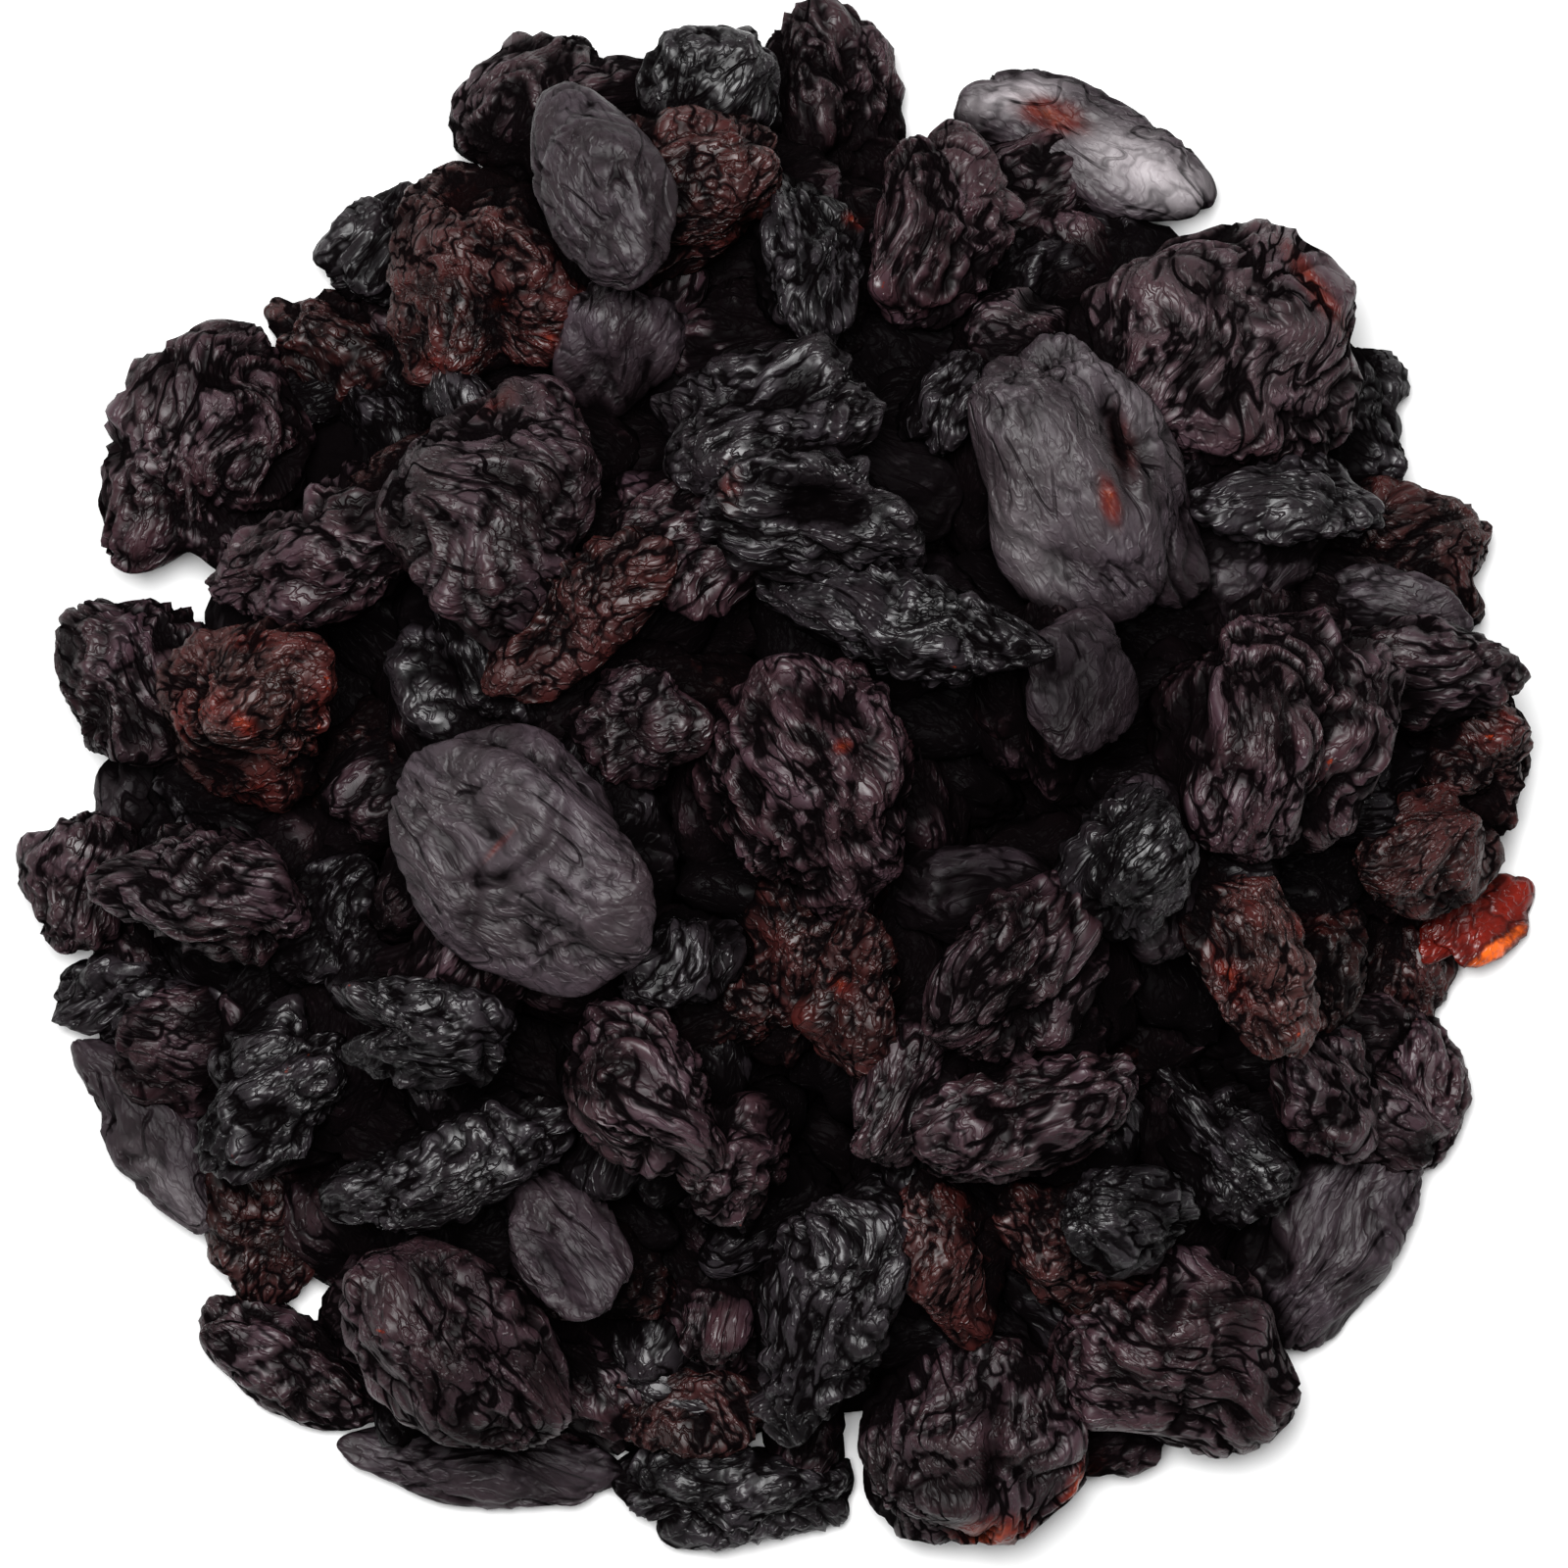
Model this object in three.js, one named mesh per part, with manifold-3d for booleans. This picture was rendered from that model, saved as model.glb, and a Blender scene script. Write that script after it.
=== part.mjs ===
// A heap of black raisins as it lies on a flat surface, as one solid: a core that follows the heap from
// below, with the raisins that show fused onto it. Millimetres, +Z up. The origin is on the flat underside,
// below the middle of the heap.
import * as THREE from "three";
import { mergeVertices } from "three/addons/utils/BufferGeometryUtils.js";
import Module from "manifold-3d";

// The kinds of raisin: thickness as a share of width, and how lumpy each is as a share of the lumpiest
const KINDS = {
  plum: { thickness: 0.66, lumpiness: 0.75 },
  broad: { thickness: 0.66, lumpiness: 0.45 },
  black: { thickness: 0.7, lumpiness: 1 },
  smooth: { thickness: 0.5, lumpiness: 0.6 },
  russet: { thickness: 0.62, lumpiness: 1 },
  amber: { thickness: 0.4, lumpiness: 1 },
};

// Each raisin that the eye picks out: kind, x, y, length, width, and its turn in degrees. First the rim,
// which lies on the surface below
const RIM = [
  ["plum", -15.8, 43.4, 10.6, 9.0, 60],
  ["plum", -10.0, 44.3, 9.0, 6.0, 0],
  ["black", -4.9, 43.8, 11.5, 9.6, 65],
  ["plum", 2.8, 43.9, 12.0, 9.0, 100],
  ["black", 36.6, 24.2, 12.2, 7.0, -68],
  ["russet", 40.0, 14.4, 12.4, 9.2, -20],
  ["russet", 45.6, 2.6, 8.0, 5.6, 100],
  ["russet", 43.2, 1.4, 10.6, 7.6, -10],
  ["russet", 40.2, -11.4, 9.0, 6.0, 75],
  ["plum", 41.2, -19.4, 9.8, 5.8, 97],
  ["smooth", 35.2, -30.0, 15.0, 8.6, 55],
  ["plum", 21.0, -41.4, 9.0, 6.0, 15],
  ["black", -3.8, -45.8, 15.0, 6.8, 3],
  ["smooth", -19.4, -44.0, 16.0, 6.0, -12],
  ["plum", -32.0, -37.4, 13.4, 6.2, -32],
  ["smooth", -40.8, -22.8, 14.4, 6.2, -52],
  ["black", -39.6, -13.6, 13.6, 6.0, 0],
  ["plum", -44.6, -6.4, 9.2, 8.0, 80],
  ["smooth", -40.6, -0.4, 8.8, 7.4, -60],
  ["plum", -42.2, 6.6, 11.6, 9.4, -50],
  ["plum", -37.2, 21.2, 16.0, 11.0, 72],
  ["russet", -27.4, 27.4, 12.0, 7.0, -35],
  ["black", -26.2, 34.2, 8.0, 6.4, 60],
];

// Then those half hidden under others
const MIDDLE = [
  ["black", 22.2, -5.0, 9.6, 8.0, 45],
  ["plum", -29.4, 14.4, 14.0, 7.0, 18],
  ["smooth", -10.5, 28.0, 9.2, 7.0, 70],
  ["russet", -12.5, 11.3, 14.0, 6.6, 40],
  ["plum", -9.7, 3.8, 9.0, 7.0, 15],
  ["smooth", 18.8, 6.6, 9.6, 7.2, 90],
  ["black", 11.9, 0.4, 8.4, 6.0, -30],
  ["black", 16.6, 33.4, 12.0, 7.0, 45],
  ["black", -22.5, -16.0, 11.0, 6.6, 0],
  ["russet", -33.6, -28.0, 12.0, 6.6, 90],
  ["black", -21.3, -24.4, 15.4, 6.8, 27],
  ["russet", -6.3, -40.4, 12.4, 6.0, -5],
  ["plum", -4.7, -34.0, 7.6, 6.0, 90],
  ["russet", 10.9, -30.2, 10.2, 6.8, 100],
  ["plum", -3.4, -23.4, 8.0, 7.2, 30],
  ["black", 27.2, -22.4, 13.0, 6.0, -50],
  ["black", 21.9, -27.2, 8.2, 7.2, 0],
  ["plum", 35.0, -20.0, 9.6, 6.4, -75],
  ["russet", 34.7, -11.6, 9.6, 6.6, 90],
  ["black", 10.3, 24.0, 7.4, 5.6, 60],
  ["black", 32.2, 18.0, 10.6, 6.0, 5],
  ["smooth", -14.0, -29.4, 11.0, 6.8, -55],
  ["plum", 40.8, 6.9, 11.4, 7.2, -10],
  ["russet", 41.2, -4.0, 10.6, 7.4, 10],
  ["russet", 4.7, -14.0, 10.0, 5.6, 85],
  ["black", -6.3, -11.4, 8.0, 6.0, 60],
];

// And those on top, which show whole
const TOP = [
  ["russet", -19.0, 32.8, 15.0, 11.6, -70],
  ["smooth", -11.8, 38.0, 12.2, 9.4, -62],
  ["black", 1.3, 33.6, 11.6, 7.4, -80],
  ["plum", 9.7, 35.5, 14.0, 8.0, 75],
  ["smooth", 19.3, 41.3, 17.6, 7.6, -27],
  ["broad", 27.8, 28.4, 18.4, 15.4, -15],
  ["smooth", 19.2, 19.0, 20.4, 12.6, -62],
  ["black", -1.3, 23.2, 14.4, 8.8, 15],
  ["black", 2.4, 17.4, 12.8, 8.4, -12],
  ["black", 8.1, 10.2, 17.0, 7.4, -20],
  ["broad", -18.4, 17.4, 15.4, 12.8, 70],
  ["russet", -34.3, 4.5, 10.6, 10.2, 0],
  ["smooth", -16.9, -4.5, 19.0, 13.0, -38],
  ["plum", 1.8, 0.6, 14.8, 13.6, -60],
  ["plum", 31.0, 3.4, 15.2, 14.8, 80],
  ["plum", -36.6, -7.0, 12.4, 8.2, -12],
  ["black", -32.4, -19.2, 10.6, 9.4, 30],
  ["broad", -21.3, -36.0, 15.4, 11.0, -62],
  ["black", 3.1, -33.4, 17.4, 7.4, 78],
  ["plum", -9.0, -19.4, 11.8, 8.8, -45],
  ["plum", 15.3, -11.8, 13.0, 10.4, 50],
  ["plum", 15.3, -21.4, 13.8, 7.4, 20],
  ["russet", 29.7, -11.0, 12.6, 7.2, -68],
  ["broad", 25.0, -36.6, 15.4, 12.0, -22],
  ["broad", 12.5, -42.4, 16.0, 13.0, 10],
  ["amber", 44.8, -9.0, 8.8, 5.2, 30],
];

// The raisins below all those, spread in layers by a rule: how many, how far out, how long, the height of
// what already lies there above which none is added, and the first of the layer's draws
const LAYERS = [
  { count: 44, reach: 40, length: 12.5, highest: 3, firstDraw: 20000 },
  { count: 34, reach: 36, length: 12, highest: 11, firstDraw: 21000 },
  { count: 14, reach: 24, length: 12, highest: 99, firstDraw: 22000 },
];
const LAYER_KINDS = ["plum", "black", "smooth", "russet"];
const SHORTEST = 0.8;
const LENGTH_SPREAD = 0.45;
const SLIMNESS = 0.62;
const SHIFT = 2;
const GOLDEN_ANGLE = Math.PI * (3 - Math.sqrt(5));
const DRAWS_PER_SPOT = 5;

// How raisins settle: the most that one rises over its whole length, so that a long one lies flatter, the
// random part of its slope, the share of its underside that ends up below what it lies on, and how much of a
// low one is pressed flat by the surface
const MOST_RISE = 4.5;
const WOBBLE = 0.3;
const SETTLED_SHARE = 0.92;
const FLOOR_FLAT = 0.3;
const THINNEST = 0.9;
const THICKNESS_SPREAD = 0.25;

// How wrinkled a raisin's outline is, as shares of its size, and how much its waves run lengthwise
const FULLNESS = 1.14;
const LENGTHWISE = 0.5;
const LUMPS = 5;
const LUMP_HEIGHT = 0.08;
const LUMP_TURNS = { least: 2.4, spread: 2.8 };
const CLEFTS = 2;
const CLEFT_DEPTH = 0.26;
const CLEFT_WIDTH = 0.28;
const CLEFT_OFFSET = 0.7;
const CLEFT_TURNS = 2.5;

// Each raisin's own run of draws, and where in it those for its seat, lumps and clefts begin
const DRAWS_PER_RAISIN = 100;
const SEAT_DRAWS = 0;
const LUMP_DRAWS = 10;
const CLEFT_DRAWS = 40;
const DRAWS_PER_LUMP = 5;
const DRAWS_PER_CLEFT = 8;

// Which raisins are fused on: those with this many square millimetres to see from above. The longest get
// more faces
const LEAST_SHOWN = 32;
const LARGE_LENGTH = 16;
const LARGE_DETAIL = 2;
const SMALL_DETAIL = 1;

// The core keeps this far below the heap's own height, taken as a mean over a disc
const CORE_BELOW = 1.8;
const CORE_SPREAD = 4;
const CORE_REACH = 43;
const CORE_SIDES = 26;
const CORE_RINGS = 7;
const CORE_FOOT = 6;
const CUT_DEPTH = 9;

// A repeatable draw from 0 to 1 for each whole number: what is left of a steep wave
const DRAW_WAVE = { step: 127.1, start: 311.7, height: 43758.5453 };

function draw(number) {
  const wave = Math.sin(number * DRAW_WAVE.step + DRAW_WAVE.start) * DRAW_WAVE.height;
  return wave - Math.floor(wave);
}

// The height of the heap so far, and the raisin on top, on a grid of cells 1 mm wide round the origin
const GRID_REACH = 60;
const GRID_SIDE = 2 * GRID_REACH + 1;
const heights = new Float64Array(GRID_SIDE * GRID_SIDE);
const uppermost = new Int32Array(GRID_SIDE * GRID_SIDE).fill(-1);
const raisins = [];

function cellAt(column, row) {
  return (row + GRID_REACH) * GRID_SIDE + column + GRID_REACH;
}

// Every cell in a square round a point, with its offset from the point
function cellsAround(x, y, distance) {
  const found = [];
  for (let row = Math.ceil(y - distance); row <= y + distance; row += 1) {
    for (let column = Math.ceil(x - distance); column <= x + distance; column += 1) {
      found.push({ cell: cellAt(column, row), dx: column - x, dy: row - y });
    }
  }
  return found;
}

// The slope of what lies under a raisin, by least squares over its outline, with a small wobble of its own
function slopeUnder(cells, halfLength, halfWidth, angle, firstDraw) {
  const rise = new THREE.Vector2();
  const span = new THREE.Vector2();
  for (const { cell, dx, dy } of cells) {
    const along = dx * Math.cos(angle) + dy * Math.sin(angle);
    const across = dy * Math.cos(angle) - dx * Math.sin(angle);
    if ((along / halfLength) ** 2 + (across / halfWidth) ** 2 < 1) {
      rise.x += dx * heights[cell];
      rise.y += dy * heights[cell];
      span.x += dx * dx;
      span.y += dy * dy;
    }
  }
  const wobble = new THREE.Vector2(draw(firstDraw) - 0.5, draw(firstDraw + 1) - 0.5);
  return rise.divide(span).addScaledVector(wobble, WOBBLE).clampLength(0, MOST_RISE / (2 * halfLength));
}

// A raisin's own axes: along it, across it, and out of its flatter face, which is square to the slope
function axesOn(slope, angle) {
  const out = new THREE.Vector3(-slope.x, -slope.y, 1).normalize();
  const along = new THREE.Vector3(Math.cos(angle), Math.sin(angle), 0);
  along.addScaledVector(out, -along.dot(out)).normalize();
  return [along, new THREE.Vector3().crossVectors(out, along), out];
}

// The lower and upper surface of a tilted ellipsoid over each cell that it covers, from its centre's height
function surfacesOver(cells, axes, halves) {
  const term = (i, j) =>
    axes.reduce((sum, axis, k) => sum + (axis.getComponent(i) * axis.getComponent(j)) / halves[k] ** 2, 0);
  const [xx, xy, xz, yy, yz, zz] = [term(0, 0), term(0, 1), term(0, 2), term(1, 1), term(1, 2), term(2, 2)];
  const covered = [];
  for (const { cell, dx, dy } of cells) {
    const lean = xz * dx + yz * dy;
    const square = lean * lean - zz * (xx * dx * dx + 2 * xy * dx * dy + yy * dy * dy - 1);
    if (square > 0) {
      const root = Math.sqrt(square);
      covered.push({ cell, lower: (-lean - root) / zz, upper: (-lean + root) / zz });
    }
  }
  return covered;
}

// Lays one raisin on the heap: it tilts to what it lies on and comes down until it rests, a little sunk in
function lay([kind, x, y, length, width, turn]) {
  const firstDraw = (raisins.length + 1) * DRAWS_PER_RAISIN;
  const seat = firstDraw + SEAT_DRAWS;
  const thickness = KINDS[kind].thickness * (THINNEST + THICKNESS_SPREAD * draw(seat));
  const halves = [length / 2, width / 2, (width / 2) * thickness];
  const angle = THREE.MathUtils.degToRad(turn);
  const cells = cellsAround(x, y, halves[0]);
  const axes = axesOn(slopeUnder(cells, halves[0], halves[1], angle, seat + 1), angle);
  const covered = surfacesOver(cells, axes, halves);
  const rests = covered.map(({ cell, lower }) => heights[cell] - lower).sort((a, b) => a - b);
  const settled = rests[Math.floor(SETTLED_SHARE * (rests.length - 1))];
  const deepest = Math.hypot(...axes.map((axis, k) => axis.z * halves[k]));
  const z = Math.max(settled, deepest - FLOOR_FLAT);
  for (const { cell, upper } of covered) {
    if (z + upper > heights[cell]) {
      heights[cell] = z + upper;
      uppermost[cell] = raisins.length;
    }
  }
  raisins.push({ kind, firstDraw, centre: new THREE.Vector3(x, y, z), axes, halves });
}

// A layer of raisins on a sunflower spiral, each shifted, sized and turned by its own draws
function layLayer({ count, reach, length, highest, firstDraw }) {
  for (let i = 0; i < count; i += 1) {
    const spot = firstDraw + i * DRAWS_PER_SPOT;
    const radius = reach * Math.sqrt((i + 0.5) / count);
    const x = radius * Math.cos(i * GOLDEN_ANGLE) + SHIFT * (draw(spot) - 0.5);
    const y = radius * Math.sin(i * GOLDEN_ANGLE) + SHIFT * (draw(spot + 1) - 0.5);
    if (heights[cellAt(Math.round(x), Math.round(y))] <= highest) {
      const size = length * (SHORTEST + LENGTH_SPREAD * draw(spot + 2));
      const kind = LAYER_KINDS[Math.floor(draw(spot + 3) * LAYER_KINDS.length)];
      lay([kind, x, y, size, size * SLIMNESS, 360 * draw(spot + 4)]);
    }
  }
}

// A random direction for a wave, turned away from the raisin's length so that folds run lengthwise
function waveDirection(number) {
  const [x, y, z] = [draw(number), draw(number + 1), draw(number + 2)];
  return new THREE.Vector3(LENGTHWISE * (x - 0.5), y - 0.5, z - 0.5).normalize();
}

// The low lumps of one raisin, as waves over the directions out of its middle
function lumpsOf({ firstDraw }) {
  return Array.from({ length: LUMPS }, (_, k) => {
    const first = firstDraw + LUMP_DRAWS + k * DRAWS_PER_LUMP;
    const turns = LUMP_TURNS.least + LUMP_TURNS.spread * draw(first + 3);
    return { wave: waveDirection(first).multiplyScalar(turns), phase: 2 * Math.PI * draw(first + 4) };
  });
}

// The clefts of one raisin, each a groove in a plane that cuts it, which opens and closes along its way
function cleftsOf({ firstDraw }) {
  return Array.from({ length: CLEFTS }, (_, k) => {
    const first = firstDraw + CLEFT_DRAWS + k * DRAWS_PER_CLEFT;
    return {
      plane: waveDirection(first),
      offset: CLEFT_OFFSET * (draw(first + 3) - 0.5),
      wave: waveDirection(first + 4).multiplyScalar(CLEFT_TURNS),
      phase: 2 * Math.PI * draw(first + 7),
    };
  });
}

// How far out the skin is in a direction, as a share of the plain ellipsoid
function shareOut(direction, lumps, clefts, lumpiness) {
  const raised = lumps.reduce((sum, { wave, phase }) => sum + Math.cos(wave.dot(direction) + phase), 0);
  const grooved = clefts.reduce((sum, { plane, offset, wave, phase }) => {
    const open = 0.5 + 0.5 * Math.cos(wave.dot(direction) + phase);
    return sum + open * Math.exp(-(((plane.dot(direction) - offset) / CLEFT_WIDTH) ** 2));
  }, 0);
  return FULLNESS + lumpiness * (LUMP_HEIGHT * raised - CLEFT_DEPTH * grooved);
}

// One raisin in its place, as a closed mesh
function raisinGeometry(raisin) {
  const { kind, centre, axes, halves } = raisin;
  const detail = 2 * halves[0] >= LARGE_LENGTH ? LARGE_DETAIL : SMALL_DETAIL;
  const geometry = new THREE.IcosahedronGeometry(1, detail);
  const corners = geometry.attributes.position;
  const lumps = lumpsOf(raisin);
  const clefts = cleftsOf(raisin);
  const direction = new THREE.Vector3();
  const skin = new THREE.Vector3();
  for (let i = 0; i < corners.count; i += 1) {
    direction.fromBufferAttribute(corners, i).normalize();
    const share = shareOut(direction, lumps, clefts, KINDS[kind].lumpiness);
    skin.copy(centre);
    axes.forEach((axis, k) => skin.addScaledVector(axis, share * halves[k] * direction.getComponent(k)));
    corners.setXYZ(i, skin.x, skin.y, skin.z);
  }
  return geometry;
}

// The mean height of the heap over a disc round the cell nearest to a spot
function heapRound(x, y) {
  const cells = cellsAround(Math.round(x), Math.round(y), CORE_SPREAD).filter(
    ({ dx, dy }) => Math.hypot(dx, dy) <= CORE_SPREAD,
  );
  return cells.reduce((sum, { cell }) => sum + heights[cell], 0) / cells.length;
}

// The core: a disc whose top follows the heap from below, and which is cut off where it meets the surface
function coreGeometry() {
  const profile = [new THREE.Vector2(0, -CORE_FOOT), new THREE.Vector2(CORE_REACH, -CORE_FOOT)];
  for (let ring = CORE_RINGS; ring >= 0; ring -= 1) {
    profile.push(new THREE.Vector2((CORE_REACH * ring) / CORE_RINGS, 0));
  }
  const geometry = new THREE.LatheGeometry(profile, CORE_SIDES).rotateX(Math.PI / 2);
  const corners = geometry.attributes.position;
  for (let i = 0; i < corners.count; i += 1) {
    if (corners.getZ(i) > -CORE_FOOT / 2) {
      corners.setZ(i, heapRound(corners.getX(i), corners.getY(i)) - CORE_BELOW);
    }
  }
  return geometry;
}

const wasm = await Module();
wasm.setup();

// A closed mesh with its shared corners merged, as a solid that can be joined and cut
function solidOf(geometry) {
  geometry.deleteAttribute("normal");
  geometry.deleteAttribute("uv");
  const merged = mergeVertices(geometry);
  return new wasm.Manifold(
    new wasm.Mesh({
      numProp: 3,
      vertProperties: new Float32Array(merged.attributes.position.array),
      triVerts: new Uint32Array(merged.index.array),
    }),
  );
}

// The volume inside a closed skin of triangles, which is negative for a sealed hollow
function volumeOf(triangles, corners) {
  const at = (i) => new THREE.Vector3().fromArray(corners, 3 * i);
  return triangles.reduce((sum, [a, b, c]) => sum + at(a).dot(at(b).cross(at(c))) / 6, 0);
}

// The separate skins of a mesh, each as a list of triangles: corners that share a triangle share a root
function skinsOf({ vertProperties, triVerts }) {
  const parent = Array.from({ length: vertProperties.length / 3 }, (_, i) => i);
  const rootOf = (i) => {
    let root = i;
    while (parent[root] !== root) {
      parent[root] = parent[parent[root]];
      root = parent[root];
    }
    return root;
  };
  const triangles = [];
  for (let t = 0; t < triVerts.length; t += 3) {
    triangles.push([triVerts[t], triVerts[t + 1], triVerts[t + 2]]);
  }
  for (const [a, b, c] of triangles) {
    parent[rootOf(a)] = rootOf(b);
    parent[rootOf(b)] = rootOf(c);
  }
  const skins = new Map();
  for (const triangle of triangles) {
    const root = rootOf(triangle[0]);
    if (!skins.has(root)) {
      skins.set(root, []);
    }
    skins.get(root).push(triangle);
  }
  return [...skins.values()];
}

// The skin that holds the most: sealed hollows are filled and loose scraps dropped
function largestSkin(mesh) {
  const volumes = skinsOf(mesh).map((triangles) => [volumeOf(triangles, mesh.vertProperties), triangles]);
  volumes.sort(([a], [b]) => b - a);
  const [[, triangles]] = volumes;
  const geometry = new THREE.BufferGeometry();
  geometry.setAttribute("position", new THREE.BufferAttribute(new Float32Array(mesh.vertProperties), 3));
  geometry.setIndex(triangles.flat());
  return geometry;
}

// The raisins with enough to see from above, counted in cells of a square millimetre
function raisinsThatShow() {
  const areas = new Array(raisins.length).fill(0);
  uppermost.filter((index) => index >= 0).forEach((index) => {
    areas[index] += 1;
  });
  return raisins.filter((_, index) => areas[index] >= LEAST_SHOWN);
}

RIM.forEach(lay);
LAYERS.forEach(layLayer);
MIDDLE.forEach(lay);
TOP.forEach(lay);

const core = solidOf(coreGeometry());
const joined = raisinsThatShow().reduce((solid, raisin) => solid.add(solidOf(raisinGeometry(raisin))), core);

// All that reaches below the surface is cut off flat
const cutWidth = 2 * GRID_REACH;
const below = new THREE.BoxGeometry(cutWidth, cutWidth, CUT_DEPTH).translate(0, 0, -CUT_DEPTH / 2);
const heapGeometry = largestSkin(joined.subtract(solidOf(below)).getMesh());
heapGeometry.computeVertexNormals();

const skinMaterial = new THREE.MeshStandardMaterial({ color: 0x2b1d24, roughness: 0.5, metalness: 0 });
const heap = new THREE.Mesh(heapGeometry, skinMaterial);
heap.name = "raisin_heap";

const model = new THREE.Group();
model.add(heap);

export default model;
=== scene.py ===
# %% [markdown]
# # A heap of black raisins
#
# This lesson dresses one packed solid, a low heap of raisins, until it looks like the real thing seen from
# straight above. The packed solid is a plain stand-in: a core with about eighty many-sided lumps fused on.
# Here each lump becomes a raisin of its own, with folded skin, in the same place and at the same size.
#
# The order is: load the frame, lay the raisins by the same rule as the solid, give them their form, fold
# their skin, build the meshes, make the finishes, and set up the floor, the light and the camera.

# %% The packed frame
import math

import bpy
import numpy as np
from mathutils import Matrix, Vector


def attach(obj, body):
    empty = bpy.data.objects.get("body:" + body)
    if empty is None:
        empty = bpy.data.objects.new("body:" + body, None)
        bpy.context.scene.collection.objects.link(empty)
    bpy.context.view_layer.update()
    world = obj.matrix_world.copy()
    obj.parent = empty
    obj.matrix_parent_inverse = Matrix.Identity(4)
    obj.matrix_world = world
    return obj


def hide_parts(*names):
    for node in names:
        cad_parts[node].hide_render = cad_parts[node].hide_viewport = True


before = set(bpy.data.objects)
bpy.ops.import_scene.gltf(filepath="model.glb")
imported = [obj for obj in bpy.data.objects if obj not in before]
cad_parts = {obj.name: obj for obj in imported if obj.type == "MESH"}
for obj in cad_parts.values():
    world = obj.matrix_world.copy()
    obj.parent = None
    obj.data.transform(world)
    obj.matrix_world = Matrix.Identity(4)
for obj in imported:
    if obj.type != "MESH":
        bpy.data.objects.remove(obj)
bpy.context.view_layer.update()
NODE = "raisin_heap"

# %% [markdown]
# ## Draws that can be repeated
#
# The solid and this scene must lay the same raisins in the same places. Both use one small formula for
# chance, so that nothing has to be copied from one to the other. A seeded generator would do for this scene
# alone, but it would give other numbers in another language. The fractional part of a steep wave is the
# same everywhere.

# %% One formula for chance
DRAW_STEP = 127.1
DRAW_START = 311.7
DRAW_HEIGHT = 43758.5453


def draw(number):
    """A repeatable draw from 0 to 1 for each whole number: what is left of a steep wave."""
    wave = np.sin(np.asarray(number, dtype=float) * DRAW_STEP + DRAW_START) * DRAW_HEIGHT
    return wave - np.floor(wave)


print("the first three draws:", draw([1, 2, 3]).round(3))

# %% [markdown]
# ## Which raisins the eye picks out
#
# A heap like this has well over a hundred raisins. Those that make the picture are given in three lists that
# follow how a heap is built: the rim on the table, those half hidden, and those on top. Each is given by its
# kind, its place, its length and width in millimetres, and its turn in degrees.
#
# There are five kinds of skin. Plum ones are soft and folded. Broad ones are the big plum ones, with
# flatter sides. Black ones are hard and glossy with sharp folds, smooth ones are flat and tight, and russet
# ones are crumbly and red-brown. One thin flake is amber.

# %% The raisins placed one by one
RIM = [
    ("plum", -15.8, 43.4, 10.6, 9.0, 60), ("plum", -10.0, 44.3, 9.0, 6.0, 0),
    ("black", -4.9, 43.8, 11.5, 9.6, 65), ("plum", 2.8, 43.9, 12.0, 9.0, 100),
    ("black", 36.6, 24.2, 12.2, 7.0, -68), ("russet", 40.0, 14.4, 12.4, 9.2, -20),
    ("russet", 45.6, 2.6, 8.0, 5.6, 100), ("russet", 43.2, 1.4, 10.6, 7.6, -10),
    ("russet", 40.2, -11.4, 9.0, 6.0, 75), ("plum", 41.2, -19.4, 9.8, 5.8, 97),
    ("smooth", 35.2, -30.0, 15.0, 8.6, 55), ("plum", 21.0, -41.4, 9.0, 6.0, 15),
    ("black", -3.8, -45.8, 15.0, 6.8, 3), ("smooth", -19.4, -44.0, 16.0, 6.0, -12),
    ("plum", -32.0, -37.4, 13.4, 6.2, -32), ("smooth", -40.8, -22.8, 14.4, 6.2, -52),
    ("black", -39.6, -13.6, 13.6, 6.0, 0), ("plum", -44.6, -6.4, 9.2, 8.0, 80),
    ("smooth", -40.6, -0.4, 8.8, 7.4, -60), ("plum", -42.2, 6.6, 11.6, 9.4, -50),
    ("plum", -37.2, 21.2, 16.0, 11.0, 72), ("russet", -27.4, 27.4, 12.0, 7.0, -35),
    ("black", -26.2, 34.2, 8.0, 6.4, 60),
]
MIDDLE = [
    ("black", 22.2, -5.0, 9.6, 8.0, 45), ("plum", -29.4, 14.4, 14.0, 7.0, 18),
    ("smooth", -10.5, 28.0, 9.2, 7.0, 70), ("russet", -12.5, 11.3, 14.0, 6.6, 40),
    ("plum", -9.7, 3.8, 9.0, 7.0, 15), ("smooth", 18.8, 6.6, 9.6, 7.2, 90),
    ("black", 11.9, 0.4, 8.4, 6.0, -30), ("black", 16.6, 33.4, 12.0, 7.0, 45),
    ("black", -22.5, -16.0, 11.0, 6.6, 0), ("russet", -33.6, -28.0, 12.0, 6.6, 90),
    ("black", -21.3, -24.4, 15.4, 6.8, 27), ("russet", -6.3, -40.4, 12.4, 6.0, -5),
    ("plum", -4.7, -34.0, 7.6, 6.0, 90), ("russet", 10.9, -30.2, 10.2, 6.8, 100),
    ("plum", -3.4, -23.4, 8.0, 7.2, 30), ("black", 27.2, -22.4, 13.0, 6.0, -50),
    ("black", 21.9, -27.2, 8.2, 7.2, 0), ("plum", 35.0, -20.0, 9.6, 6.4, -75),
    ("russet", 34.7, -11.6, 9.6, 6.6, 90), ("black", 10.3, 24.0, 7.4, 5.6, 60),
    ("black", 32.2, 18.0, 10.6, 6.0, 5), ("smooth", -14.0, -29.4, 11.0, 6.8, -55),
    ("plum", 40.8, 6.9, 11.4, 7.2, -10), ("russet", 41.2, -4.0, 10.6, 7.4, 10),
    ("russet", 4.7, -14.0, 10.0, 5.6, 85), ("black", -6.3, -11.4, 8.0, 6.0, 60),
]
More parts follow.
